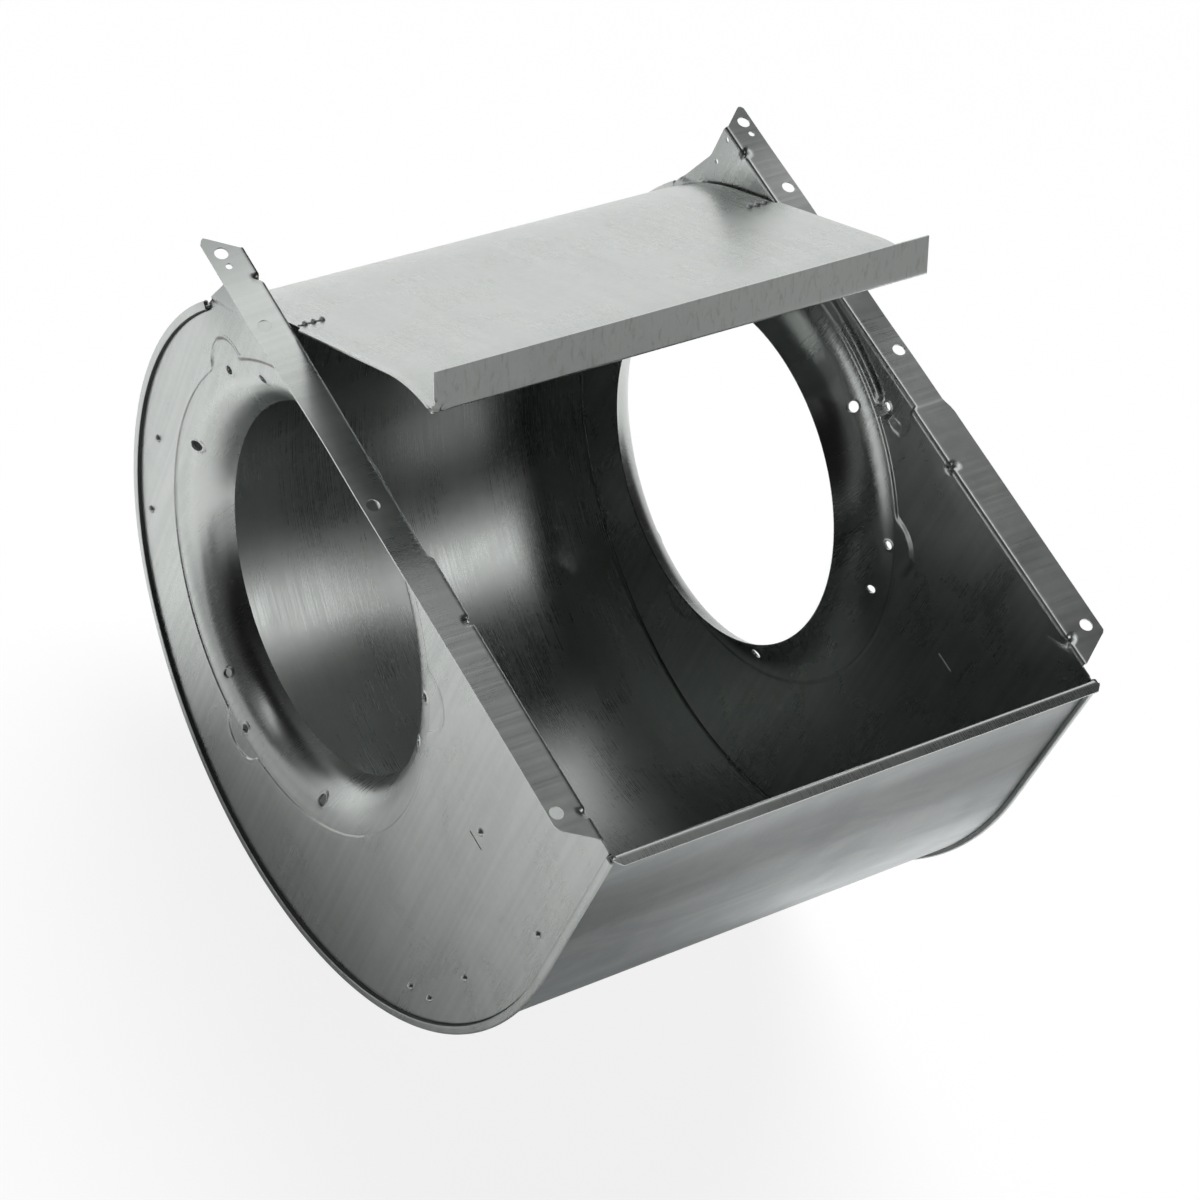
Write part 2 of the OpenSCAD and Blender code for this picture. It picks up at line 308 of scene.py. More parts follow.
# %% Sizes of the pressing
THROAT_R, THROAT_DEPTH = 112.0, 24.4             # edge of the inlet's mouth
CONE_R, CONE_DEPTH = 117.8, 12.6                 # foot of the steep throat
STEP_R, DISH_DEPTH = 130.5, 2.2                  # inner edge of the flat dish
RING_R, RING_DEPTH = 141.8, 1.0                  # outline of the pressed ring
LOBE_CIRCLE, LOBE_ANGLE, LOBE_R = 137.0, 29.3, 19.0
RING_STEP = 0.3, 1.7                             # where the ring's soft step starts, and its width
PAD_PROUD, PAD_END, PAD_R = 2.5, -80.0, 150.2    # raised pad beside the outlet
PAD_HOLE = np.array([-64.5, 137.2])
GUSSETS = [116.8, -124.2, -250.2]
GUSSET_DEPTH, GUSSET_HALF = 2.0, 3.4


def thrice(radius, first):
    """Three places on a circle, 120 degrees apart."""
    return radius * unit(first + 120.0 * np.arange(3))


PAD_LINE = np.concatenate([
    [[-80.0, 175.0], [-82.6, 140.5], [-81.4, 136.0], [-76.5, 134.3], [-68.0, 134.6]],
    arc(np.zeros(2), PAD_R, 114.0, 52.0, 24)[0],
    [[102.5, 119.5], [113.0, 120.0], [124.0, 113.0], [150.0, 96.0], [185.0, 99.0], [185.0, 175.0]]])
print("lobes at", thrice(LOBE_CIRCLE, LOBE_ANGLE).round(1).tolist())

# %% [markdown]
# The height needs the distance to two outlines. The pad's is a polygon. The ring's is a circle with
# three lobes, and such a shape is easiest as the smaller of several circle distances.

# %% Height of the pressed face
def polygon_distance(p, loop):
    """Signed distance of the points p to a closed polygon, negative inside. The nearest point on
    each side is a + t (b - a) with t held in 0..1; the sign counts the crossings of a ray."""
    a, b = loop, np.roll(loop, -1, axis=0)
    flat = p.reshape(-1, 1, 2)
    side = b - a
    t = np.clip(((flat - a) * side).sum(-1) / (side ** 2).sum(-1), 0, 1)
    gap = np.linalg.norm(flat - a - t[..., None] * side, axis=-1).min(axis=1)
    above = (a[:, 1] > flat[..., 1]) != (b[:, 1] > flat[..., 1])
    with np.errstate(divide="ignore", invalid="ignore"):
        cross = a[:, 0] + (flat[..., 1] - a[:, 1]) * side[:, 0] / side[:, 1]
    inside = (above & (flat[..., 0] < cross)).sum(axis=1) % 2 == 1
    return np.where(inside, -gap, gap).reshape(p.shape[:-1])


def ring_distance(p):
    """Distance to the ring's outline: the smaller of |p| - RING_R and each |p - lobe| - LOBE_R,
    blended over a few millimetres where a lobe runs into the ring."""
    d = np.linalg.norm(p, axis=-1) - RING_R
    for lobe in thrice(LOBE_CIRCLE, LOBE_ANGLE):
        e = np.linalg.norm(p - lobe, axis=-1) - LOBE_R
        h = np.clip(0.5 + 0.5 * (e - d) / 3.0, 0, 1)
        d = e * (1 - h) + d * h - 3.0 * h * (1 - h)
    return d


def inlet_line():
    """Side view of the turned inlet as (radius, depth): the dish, a slope of about 39 degrees, and
    the steep throat. Two wide bends make one soft S of the first corners, and the last is tight."""
    corners = [[RING_R - 1.0, RING_DEPTH], [STEP_R, DISH_DEPTH], [CONE_R, CONE_DEPTH],
               [THROAT_R + 2.6, THROAT_DEPTH - 5.8], [THROAT_R, THROAT_DEPTH]]
    return rounded(corners, [29.0, 27.0, 2.0], 12)


INLET = inlet_line()


def dish(r):
    """Depth of the inlet's side view at radius r, by straight interpolation of its points."""
    return np.interp(r, INLET[::-1, 0], INLET[::-1, 1])


def dart(y):
    """Depth of the three gussets along the bend: tents of GUSSET_DEPTH, GUSSET_HALF to each side."""
    return sum(GUSSET_DEPTH * np.clip(1 - np.abs(y - g) / GUSSET_HALF, 0, 1) for g in GUSSETS)


def within_ring(p):
    """1 inside the ring's outline, 0 outside it, with a smooth step of the distance between."""
    start, width = RING_STEP
    return 1 - smooth((ring_distance(p) - start) / width)


def height(p):
    """How far the plate's outside stands out of its flat face at the places p (y, z), in mm:
    -dish(r) inside the ring, the pad's height on the pad, slow waves further out than 150 mm,
    and the darts of the gussets, which fade out 3.6 mm below the bend."""
    y, z = p[..., 0], p[..., 1]
    r = np.linalg.norm(p, axis=-1)
    edge = np.minimum(polygon_distance(p, PAD_LINE), np.linalg.norm(p - PAD_HOLE, axis=-1) - 6.4)
    pad = smooth(0.5 - edge / 2.4)
    wave = 0.10 * np.sin(y / 41 + 1.0) * np.sin(z / 37) + 0.06 * np.sin(y / 19 - z / 23)
    calm = smooth((r - 150) / 30)
    out = -dish(r) * within_ring(p) + PAD_PROUD * pad + wave * calm
    foot = np.clip(1 - (FOOT - z) / 3.6, 0, 1)
    return out + foot * dart(y)


test = np.array([[0, 145.0], [0, 138.0], [0, 125.0], [-40, 152.5], [-200, 0]])
print("heights:", height(test).round(2).tolist())

# %% [markdown]
# ## Grid of a side plate
# One parameter runs round the plate's outline, the other from the throat's edge outwards. The inner
# rows are circles of the turned inlet mouth; the outer rows share the way from the ring to the
# outline. The rim and the flange are grids of their own that start on the face's last row.

# %% Outline of the plate
OUTLET_END = 138.8                # the outlet edge ends here, at the ear
EAR = np.array([[153.3, 88.3], [151.2, 96.5], [143.6, 118.0], [138.9, 131.0], [OUTLET_END, FOOT]])
EAR_POINTS = 26
FACE_OFF = -3.0                  # the face ends this far inside the scroll line


def outlet_places():
    """Places along the outlet edge: even steps, with finer ones at the gussets and the pad's end."""
    y = [np.linspace(OUTLET_END, -PANEL_Y - FACE_OFF, 116), [-267.0, PAD_END, OUTLET_END]]
    for g in GUSSETS:
        y.append(g + np.linspace(-5.1, 5.1, 13))
    y.append(PAD_END + np.linspace(-3.0, 3.0, 7))
    y = np.sort(np.concatenate(y))[::-1]
    return y[np.concatenate([[True], np.diff(y) < -0.45])]


def plate_outline():
    """The face's edge in (y, z): along the seam, up the ear and back along the outlet."""
    seam = seam_line + FACE_OFF * seam_normal
    ear = rounded(EAR, [4, 0, 5], 3)
    ear = walk(ear, np.linspace(0, total(ear), EAR_POINTS))
    y = outlet_places()
    outlet = np.stack([y, np.full(len(y), FOOT)], axis=-1)
    corner = np.array([[-PANEL_Y - FACE_OFF, FOOT]])
    return np.concatenate([corner, seam, ear, outlet[1:-1]]), len(seam)


outline, seam_count = plate_outline()
print("outline has", len(outline), "points")

# %% [markdown]
# The rows lie close together where the metal bends: across the ring's step, across the pad's edge
# and at the foot of the rim. Elsewhere they are far apart, because flat sheet needs few points.

# %% Face of the plate
ROWS_AT_RING = np.concatenate([[137.5, 139.2], RING_R + np.array([-0.8, 0.3, 0.85, 1.35, 2.0]),
                               [145.2, 146.6, 147.8]])
ROWS_AT_PAD = PAD_R + np.array([-1.6, -1.1, -0.7, -0.35, 0.0, 0.35, 0.7, 1.1, 1.6])


def mouth_line():
    """Radius and depth of the outside from the throat's edge up the inlet's side view to 136 mm."""
    line = INLET[::-1]
    even = walk(line, np.linspace(0, total(line), 400))
    even = even[even[:, 0] < 136.0]
    return even[np.linspace(0, len(even) - 1, 27).astype(int)]


def plate_face():
    """Points (x, y, z) of the face: direction of the outline point times radius, x from the depth
    of the mouth line or from height(). The last rows close up towards the rim."""
    reach = np.linalg.norm(outline, axis=-1)
    way = outline / reach[:, None]
    line = mouth_line()
    inner = np.broadcast_to(line[:, 0], (len(way), len(line)))
    near = np.concatenate([ROWS_AT_RING, ROWS_AT_PAD])
    share = np.clip((reach - 153.4) / 14.0, 0.05, 1.0)[:, None]
    last = near[-1] + share * np.array([1.4, 2.8, 4.2, 5.6, 7.0, 8.2])
    stop = last[:, -1:]
    rim_in = np.minimum(6.5, 0.5 * (reach[:, None] - stop))
    rest = stop + (reach[:, None] - rim_in - stop) * np.linspace(0, 1, 9)[1:]
    edge = reach[:, None] - rim_in * np.array([0.77, 0.57, 0.38, 0.18, 0.0])
    r = np.concatenate([inner, np.broadcast_to(near, (len(way), len(near))), last, rest, edge], axis=1)
    yz = r[..., None] * way[:, None, :]
    x = np.empty(r.shape)
    k = len(line)
    x[:, :k] = HALF - line[:, 1]
    x[:, k:] = HALF + height(yz[:, k:])
    return np.concatenate([x[..., None], yz], axis=-1)


face = plate_face()
print("face grid", face.shape[:2], "x from", face[..., 0].min().round(2),
      "to", face[..., 0].max().round(2))

# %% [markdown]
# ## Rolled rim
# At the curved edge the plate steps outwards, turns over the edge of the wrap and folds back behind
# it. The rim is one small cross-section carried along the scroll line, at right angles to it.

# %% Rim of the plate
RIM_PROUD, RIM_OUT = 2.5, 4.2


def rim_section():
    """Cross-section of the rim's outside as (out, x): out from the scroll line, x from the face."""
    corners = [[FACE_OFF, 0], [-1.9, 0], [-1.5, -0.9], [-0.9, RIM_PROUD], [RIM_OUT, RIM_PROUD],
               [RIM_OUT, -0.5], [1.1, -0.5]]
    return rounded(corners, [0.4, 0.25, 1.0, 1.25, 1.25], 4)


def plate_rim():
    """The rim's grid: scroll line + out times its normal, and x from the cross-section. The first
    columns start from the pressed face's own height, so that face and rim meet."""
    section = rim_section()
    out, x = section[:, 0], section[:, 1]
    yz = seam_line[:, None, :] + out[None, :, None] * seam_normal[:, None, :]
    start = height(seam_line + FACE_OFF * seam_normal)[:, None]
    rising = np.arange(len(x)) < np.argmax(x > RIM_PROUD - 1e-6)
    lift = np.where(rising, start * (1 - x / RIM_PROUD), 0.0)
    return np.concatenate([(HALF + x + lift)[..., None], yz], axis=-1)


rim = plate_rim()
print("rim grid", rim.shape[:2], "reaches x", rim[..., 0].max().round(2))

# %% [markdown]
# ## Outlet flange
# The flange is bent outwards along the outlet edge and stiffened by three small gussets, which are
# darts pressed into the bend. Its free edge is narrower along the raised pad, and its two ends are
# slanted, so the grid's rows fan out a little towards the free edge.

# %% Flange of the plate
def free_edge(y, side):
    """Place of the free edge. Right: 22 mm out along the pad and 24 mm below it, with a short slope;
    left: 24 mm out at the top, and 3 mm less at the bottom, in one slow line."""
    if side < 0:
        return HALF + 23.85 - 2.85 * smooth((150.0 - y) / 400.0)
    return HALF + 21.8 + 2.2 * smooth((PAD_END - y) / 11.0)


def twist(y, side):
    """Slope of the flange across its width, because thin sheet never bends to one even angle. The
    left flange droops at its top end and lifts a little below that; the right one lifts near its
    top and along its lower part."""
    if side < 0:
        return (-0.12 * smooth((y - 30.0) / 50.0) + 0.05 * bump(y - 4.0, 48.0)
                + 0.012 * bump(y + 170.0, 80.0))
    return 0.05 * bump(y - 70.0, 55.0) + 0.048 * smooth((-15.0 - y) / 40.0)


def plate_flange(side):
    """Bend and flat of the flange. Bend: a quarter circle of radius BEND_R about a line that lies
    BEND_R outside the face. Flat: steps to the free edge. Each dart moves the bend by its depth
    along (cos f, -sin f). Both ends slant, and their outer corners are rounded."""
    y = outline[seam_count + EAR_POINTS:, 0]
    y = y[y > -267.4]
    foot = height(np.stack([y, np.full(len(y), FOOT)], axis=-1)) + HALF
    dent = dart(y)
    edge = free_edge(y, side)[:, None]
    f = np.radians(np.linspace(0, 90, 7))
    root = (foot - dent)[:, None]
    x1 = root + BEND_R * (1 - np.cos(f)) + dent[:, None] * np.cos(f)
    z1 = FOOT + BEND_R * np.sin(f) - dent[:, None] * np.sin(f)
    q = np.linspace(0, 1, 15)[1:] ** 1.1
    base = root + BEND_R
    x2 = base + q * (edge - base)
    lean = twist(y, side)[:, None] * (x2 - base)
    z2 = TOP - SHEET - dent[:, None] * np.clip(1 - (x2 - base) / GUSSET_HALF, 0, 1) + lean
    x, z = np.concatenate([x1, x2], axis=1), np.concatenate([z1, z2], axis=1)
    over = np.clip(x - base, 0, None)
    end = edge - x
    round_top = 4.0 * np.clip(1 - end / 4.0, 0, 1) ** 2
    round_low = 2.4 * np.clip(1 - end / 3.0, 0, 1) ** 2
    up = 13.8 * np.clip(over / 17.0, 0, 1) - round_top
    low = 13.0 * np.clip(over / 20.0, 0, 1) + round_low
    yy = y[:, None]
    yy = yy + up * smooth((yy - 100.0) / 38.8) + low * smooth((-222.0 - yy) / 44.0)
    return np.stack([x, yy, z], axis=-1)


flanges = {side: plate_flange(side) for side in (-1, 1)}
print("flange grid", flanges[1].shape[:2], "from y", flanges[1][..., 1].min().round(1),
      "to", flanges[1][..., 1].max().round(1))

# %% [markdown]
# ## Holes and small pressings
# The punched holes are cut out of the finished wall with round cutters. Each screw hole then gets a
# small turned-up rim, and each dimple is a small pressed nipple: both are closed rings or caps that
# are draped on the height function, so they sit on curved metal without a gap.

# %% Cutters
ALONG_X, ALONG_Z = Matrix.Rotation(np.pi / 2, 4, "Y"), Matrix.Identity(4)


def drill(name, places, radius, turn, reach, sides=40):
    """Round cutters: closed drums about the given places, turned from Z by the matrix turn."""
    bm = bmesh.new()
    for place in places:
        move = Matrix.Translation([float(v) * MM for v in place]) @ turn
        bmesh.ops.create_cone(bm, cap_ends=True, segments=sides, radius1=radius * MM,
                              radius2=radius * MM, depth=reach * MM, matrix=move)
    return from_bmesh(name, bm)


def chisel(name, place, size):
    """Square cutter of the given size (x, y, z) about a place."""
    bm = bmesh.new()
    move = Matrix.Translation([float(v) * MM for v in place])
    bmesh.ops.create_cube(bm, size=1.0, matrix=move @ Matrix.Diagonal([v * MM for v in size] + [1.0]))
    return from_bmesh(name, bm)


print("an X drill is turned by", [round(np.degrees(a)) for a in ALONG_X.to_euler()])

# %% Draped rings and caps
ARM_R, SCREW_R = 3.5, 2.75       # the two sizes of hole that have a rim


def draped(side, place, section, closed=True):
    """A section (rho, h) turned about a place on the plate and laid on it: the point at angle a is
    place + rho (cos a, sin a), and h is added to the plate's outside there."""
    a = np.linspace(0, 360, 28, endpoint=False)
    section = np.asarray(section, float)
    yz = np.asarray(place, float) + section[None, :, :1] * unit(a)[:, None, :]
    x = side * (HALF + height(yz) + section[None, :, 1])
    return np.concatenate([x[..., None], yz], axis=-1), yz, (True, closed)


def hole_rim(radius):
    """Section of a hole's rim: a thin collar that stands 0.35 mm out at the hole's edge and fades
    into the sheet 2.2 mm further out, on both faces of the sheet."""
    return [[radius + 2.2, -0.05], [radius + 1.2, 0.10], [radius + 0.7, 0.36], [radius + 0.25, 0.44],
            [radius, 0.30], [radius - 0.05, -0.5], [radius, -1.25], [radius + 0.4, -1.32],
            [radius + 1.0, -1.12], [radius + 2.2, -0.95]]


def dimple(radius=2.6, rise=2.2):
    """Section of a pressed nipple: h = rise (1 - (rho / radius)^2.4), and its hollow inside."""
    rho = radius * np.linspace(1, 0.02, 8)
    cap = rise * (1 - (rho / radius) ** 2.4)
    outer = np.stack([rho, cap - 0.02], axis=-1)
    inner = np.stack([rho[::-1], 0.8 * cap[::-1] - 1.05], axis=-1)
    return np.concatenate([outer, inner])


print("sections of", len(hole_rim(ARM_R)), "and", len(dimple()), "points")

# %% [markdown]
# The ring's edge is crisper than the face's grid can show, because the grid's columns cross the
# lobes at a slant. So a narrow band is laid over it, whose columns follow the ring's own line.

# %% Crisp edge of the pressed ring
def ring_path(count=480):
    """Even points of the line ring_distance = 0 and its normals. On each ray from the axis the
    radius is found by halving the span 30 times; the normal is the gradient of the distance."""
    ray = unit(np.linspace(0, 360, 4001))
    low, high = np.full(len(ray), 135.0), np.full(len(ray), 165.0)
    for _ in range(30):
        middle = (low + high) / 2
        beyond = ring_distance(middle[:, None] * ray) > 0
        low, high = np.where(beyond, low, middle), np.where(beyond, middle, high)
    line = low[:, None] * ray
    points = walk(line, np.linspace(0, total(line), count + 1)[:-1])
    step = 0.05 * np.eye(2)
    slope = np.stack([ring_distance(points + k) - ring_distance(points - k) for k in step], axis=-1)
    return points, slope / np.linalg.norm(slope, axis=1, keepdims=True)


def ring_step(side):
    """The crisp edge of the pressed ring: at distance q from the line, the outside lies at
    -dish(r) (1 - smooth((q + 0.45) / 0.9)), laid just over the coarser face."""
    points, normal = ring_path()
    q = np.array([-1.5, -0.8, -0.45, -0.2, 0.0, 0.2, 0.45, 0.9, 2.4])
    top = points[:, None, :] + q[None, :, None] * normal[:, None, :]
    deep = dish(np.linalg.norm(top, axis=-1))
    level = height(top) + deep * within_ring(top)
    outside = HALF + level - deep * (1 - smooth((q + 0.45) / 0.9)) + 0.05
    x = np.concatenate([outside, outside[:, ::-1] - 0.5], axis=1)
    yz = np.concatenate([top, top[:, ::-1]], axis=1)
    return np.concatenate([side * x[..., None], yz], axis=-1), yz, (True, True)


print("ring line:", round(total(ring_path()[0])), "mm, band grid", ring_step(1)[0].shape[:2])

# %% [markdown]
# The two plates come from one die, but two small marks sit a few millimetres apart on them. Every
# place below is (y, z) on the flat face, and the flange's places are y along it.

# %% Places of the holes and dimples
DIMPLES = [[141.0, -99.5], [156.3, -46.7], [-262.1, 48.1], [-233.8, -49.4], [-203.4, -111.9],
           [-219.1, -99.2]]
DIMPLE_LEFT, DIMPLE_RIGHT = [-195.8, 50.2], [-190.0, 39.8]
SLIT_LEFT, SLIT_RIGHT = [-195.6, 41.0], [-192.5, 51.0]
SLIT_SIZE = [20.0, 13.0, 1.2]
ARM_HOLES = thrice(128.5, -7.9)
SCREW_HOLES = np.concatenate([thrice(130.0, 44.3), thrice(LOBE_CIRCLE, LOBE_ANGLE), PAD_HOLE[None]])
EAR_HOLES, EAR_R = np.array([[132.8, 151.8], [132.7, 132.0]]), 1.6
FLANGE_ROW = HALF + 15.8         # the flange's holes lie this far from the middle
FLANGE_HOLES, FLANGE_R = [139.0, -245.0, 86.0, -41.5], 4.0
PILOT_HOLES, PILOT_R = [129.5], 2.0
print(len(DIMPLES) + 1, "dimples,", len(ARM_HOLES) + len(SCREW_HOLES), "holes with a rim")

# %% Build a side plate
def side_plate(name, side, extra_dimple, slit):
    """One side plate: the three grids are welded, given their wall and pierced, and the small
    draped rings are joined on. side is +1 or -1 and mirrors x; the places of extra_dimple and slit
    are what the two plates don't share."""
    turn = np.array([side, 1.0, 1.0])
    grids = [(p * turn, p[..., 1:], (round_closed, False))
             for p, round_closed in ((face, True), (rim, False), (flanges[side], False))]
    obj = put(name, weld(make_mesh(name, grids), (side, 0, 0)))
    give_wall(obj)

    def on_face(places, x=HALF):
        return [[side * x, *place] for place in places]

    def on_flange(places):
        return [[side * FLANGE_ROW, y, TOP - 0.5 * SHEET] for y in places]

    pierce(obj, [drill("cut_arm", on_face(ARM_HOLES, HALF - 5), ARM_R, ALONG_X, 24),
                 drill("cut_screw", on_face(SCREW_HOLES), SCREW_R, ALONG_X, 24),
                 drill("cut_ear", on_face(EAR_HOLES), EAR_R, ALONG_X, 24),
                 drill("cut_flange", on_flange(FLANGE_HOLES), FLANGE_R, ALONG_Z, 12),
                 drill("cut_pilot", on_flange(PILOT_HOLES), PILOT_R, ALONG_Z, 12),
                 chisel("cut_slit", on_face([slit])[0], SLIT_SIZE)])
    rings = [draped(side, p, hole_rim(ARM_R)) for p in ARM_HOLES]
    rings += [draped(side, p, hole_rim(SCREW_R)) for p in SCREW_HOLES]
    rings += [draped(side, p, dimple()) for p in DIMPLES + [extra_dimple]]
    join_grids(obj, rings + [ring_step(side)], sharp=70.0)
    return obj


left_plate = side_plate("left_plate", -1, DIMPLE_LEFT, SLIT_LEFT)
right_plate = side_plate("right_plate", 1, DIMPLE_RIGHT, SLIT_RIGHT)
print("triangles of a plate:", sum(len(p.vertices) - 2 for p in left_plate.data.polygons))

# %% [markdown]
# ## The scroll wrap
# The wrap is one sheet. Its side view is a single line: the small front lip, the bend into the
# panel, the scroll, the straight cut-off, its curved end and the lip folded back up. The line is
# carried across the width, and each of its points says how wide the sheet is there.

# %% Side view of the wrap
NOSE_R, LIP_ANGLE, LIP_LEN = 0.6, 60.0, 24.0
TIP_ANGLE = SCROLL_END + TONGUE_SWEEP
WRAP_HALF = HALF - SHEET - 0.1   # between the plates
WRAP_WIDE = WRAP_HALF + 3.0      # beyond the outlet plane


def wrap_profile():
    """Outside of the wrap as (y, z) and its half width, from the front lip's edge to the end of
    the tongue's lip. The stretches are joined end to end."""
    fold_c = np.array([-PANEL_Y - SHEET - BEND_R, FOOT])
    lip = np.stack([np.linspace(-PANEL_Y - 8.0, fold_c[0], 6), np.full(6, TOP - SHEET)], axis=-1)
    lip_half = WRAP_HALF + np.interp(lip[:, 0], [-285.0, -281.0, -280.0, -279.5], [-2.0, 2.0, 2.0, 0.0])
    fold = arc(fold_c, BEND_R, 90, 0, 5)[0][1:]
    line, normal = scroll_line(LINE_STEP, FOOT, SCROLL_END)
    scroll = (line + SHEET * normal)[1:]
    straight = (STRAIGHT_A + np.linspace(0, 1, 46)[1:, None] * (STRAIGHT_B - STRAIGHT_A)
                + SHEET * unit(SCROLL_END))
    tongue = arc(TONGUE_C, TONGUE_R + SHEET, SCROLL_END, TIP_ANGLE, 22)[0][1:]
    tip = TONGUE_C + TONGUE_R * unit(TIP_ANGLE)
    nose_c = tip + (SHEET + NOSE_R) * unit(TIP_ANGLE)
    nose = arc(nose_c, NOSE_R, TIP_ANGLE + 180, LIP_ANGLE + 90, 6)[0][1:]
    edge = nose[-1] + np.linspace(0, LIP_LEN - SHEET - NOSE_R, 14)[1:, None] * unit(LIP_ANGLE)
    parts = [lip, fold, scroll, straight, tongue, nose, edge]
    half = [lip_half] + [np.full(len(p), WRAP_HALF) for p in parts[1:3]]
    half += [np.where(p[:, 1] > TOP + 2.5, WRAP_WIDE, WRAP_HALF) for p in (straight, tongue)]
    half += [np.linspace(WRAP_WIDE, WRAP_WIDE - 1.0, len(nose)), np.full(len(edge), WRAP_WIDE - 1.0)]
    return np.concatenate(parts), np.concatenate(half), [len(p) for p in parts]


profile, half_width, part_sizes = wrap_profile()
print("wrap profile:", len(profile), "points over", round(total(profile)), "mm")

# %% [markdown]
# A sheet this size is never quite flat, and flat metal mirrors the room like a pane of glass, which
# gives a model away. So slow waves a few tenths of a millimetre deep are pressed into the grid, away
# from the bends. The tongue's left tip was crumpled in handling, and gets a few sharper creases.

# %% Surface of the wrap
LENGTHS = lengths(profile)
FOLD_END = part_sizes[0] + part_sizes[1]                      # profile point where the panel starts
NOSE_START = len(profile) - part_sizes[5] - part_sizes[6]     # and where the tongue's lip starts
LIP_START = float(LENGTHS[NOSE_START])


def wrap_surface():
    """Grid (profile point, place across), and its UV: millimetres across and along the sheet. Along
    its normal the sheet is moved inwards by |w|, with u = -1..1 across, s along and
    w = (0.16 sin(s / 61 + 2 u) + 0.10 sin(s / 23 - 3 u)) sin(pi (1 + u) / 2), and by the crumple."""
    u = np.concatenate([np.linspace(-1, -0.93, 6), np.linspace(-0.93, 0.93, 48)[1:-1],
                        np.linspace(0.93, 1, 6)])
    step = np.gradient(profile, axis=0)
    normal = np.stack([step[:, 1], -step[:, 0]], axis=-1)
    normal /= np.linalg.norm(normal, axis=1, keepdims=True)
    s = LENGTHS[:, None]
    across = half_width[:, None] * u
    middle = np.sin(np.pi * (1 + u) / 2)
    wave = 0.16 * np.sin(s / 61 + 2 * u) * middle + 0.10 * np.sin(s / 23 - 3 * u) * middle
    calm = smooth((s - LENGTHS[FOLD_END]) / 60) * smooth((LIP_START - s) / 30)
    near_tip = smooth((-across - 155.0) / 6.0) * smooth(1 - np.abs(s - LIP_START - 1.0) / 9.0)
    crease = np.sin(1.7 * across + 0.9 * s) + 0.8 * np.sin(2.9 * s - 1.1 * across)
    inward = np.abs(wave * calm) - near_tip * crease
    yz = profile[:, None, :] - inward[..., None] * normal[:, None, :]
    grid = np.concatenate([across[..., None], yz], axis=-1)
    return grid, np.stack([across, np.broadcast_to(s, across.shape)], axis=-1)


wrap_points, wrap_uv = wrap_surface()
print("wrap grid", wrap_points.shape[:2], "lip from", round(LIP_START), "mm along the sheet")

# %% [markdown]
# ## Rosettes of the tongue
# Where the tongue leaves the plates, the sheet is lanced three times close to each plate. Each lance
# is a little raised bridge with an open slot beside it.

# %% Rosettes
BRIDGES, SLOTS = (147.0, 152.6, 158.2), (149.8, 155.4, 161.0)     # places across, from the middle


def bridges():
    """Closed caps on the straight stretch, and the centres of the slots. A cap is an ellipse with
    half axes 2.6 along the sheet's direction t and 1.45 across it, and at the share rho of them it
    stands h = 2.1 (1 - rho^2.6) out along the normal n."""
    n, t = unit(SCROLL_END), unit(SCROLL_END + 90)
    start = STRAIGHT_A + SHEET * n
    middle = start + (TOP - start[1]) / t[1] * t
    a = np.linspace(0, 360, 24, endpoint=False)
    rho = np.linspace(1, 0.03, 7)
    cap = 2.1 * (1 - rho ** 2.6)
    section = np.concatenate([np.stack([rho, cap - 0.03], -1),
                              np.stack([rho[::-1], 0.7 * cap[::-1] - 1.03], -1)])
    grids = []
    for side in (-1, 1):
        for place in BRIDGES:
            radial = section[None, :, :1] * unit(a)[:, None, :]
            yz = middle + 2.6 * radial[..., :1] * t + section[None, :, 1:] * n
            x = side * place + 1.45 * radial[..., 1]
            grids.append((np.concatenate([x[..., None], yz], axis=-1), yz, (True, True)))
    slots = [[side * x, *(middle - 0.5 * n)] for side in (-1, 1) for x in SLOTS]
    return grids, slots, n


bridge_grids, slot_places, straight_normal = bridges()
print(len(bridge_grids), "bridges and", len(slot_places), "slots")


# %% Build the wrap
def build_wrap():
    """Weld the wrap's grid, give it its wall, cut the slots and join the bridges."""
    obj = put("wrap", weld(make_mesh("wrap", [(wrap_points, wrap_uv, (False, False))]), (0, -0.3, -1)))
    give_wall(obj)
    turn = Vector((0.0, *straight_normal)).to_track_quat("Z", "X").to_matrix().to_4x4()
    pierce(obj, [drill("cut_slots", slot_places, 1.7, turn, 6, sides=24)])
    join_grids(obj, bridge_grids)
    return obj


scroll_wrap = build_wrap()
print("wrap:", len(scroll_wrap.data.polygons), "faces")

# %% [markdown]
# ## Rolled zinc
# Hot-dip galvanised sheet is grey and softly shiny. It has slow cloudy patches, a fine grain of zinc
# crystals, and hair-fine lines along the way it went through the rolling mill. All three are noise
# patterns at different sizes. They are built once as node groups, and each piece takes its own share.
# A finish is mostly sums and products of such patterns, so the nodes are wired by small functions.

# %% Helpers for nodes
def feed(tree, value, socket):
    """Link an output to a socket, or write a plain number or colour into it."""
    if hasattr(value, "is_linked"):
        tree.links.new(value, socket)
    else:
        socket.default_value = value if np.isscalar(value) else (*value, 1.0)


def maths(tree, operation, *values):
    """Math node; its inputs are sockets or plain numbers."""
    node = tree.nodes.new("ShaderNodeMath")
    node.operation = operation
    for value, socket in zip(values, node.inputs):
        feed(tree, value, socket)
    return node.outputs[0]


def times(tree, first, *others):
    """Product of two or more values."""
    for other in others:
        first = maths(tree, "MULTIPLY", first, other)
    return first


def sum_of(tree, start, *terms):
    """start + weight * value for each (weight, value)."""
    for weight, value in terms:
        start = maths(tree, "MULTIPLY_ADD", value, weight, start)
    return start


def split_up(tree, vector):
    """The three parts of a vector."""
    node = tree.nodes.new("ShaderNodeSeparateXYZ")
    tree.links.new(vector, node.inputs[0])
    return node.outputs


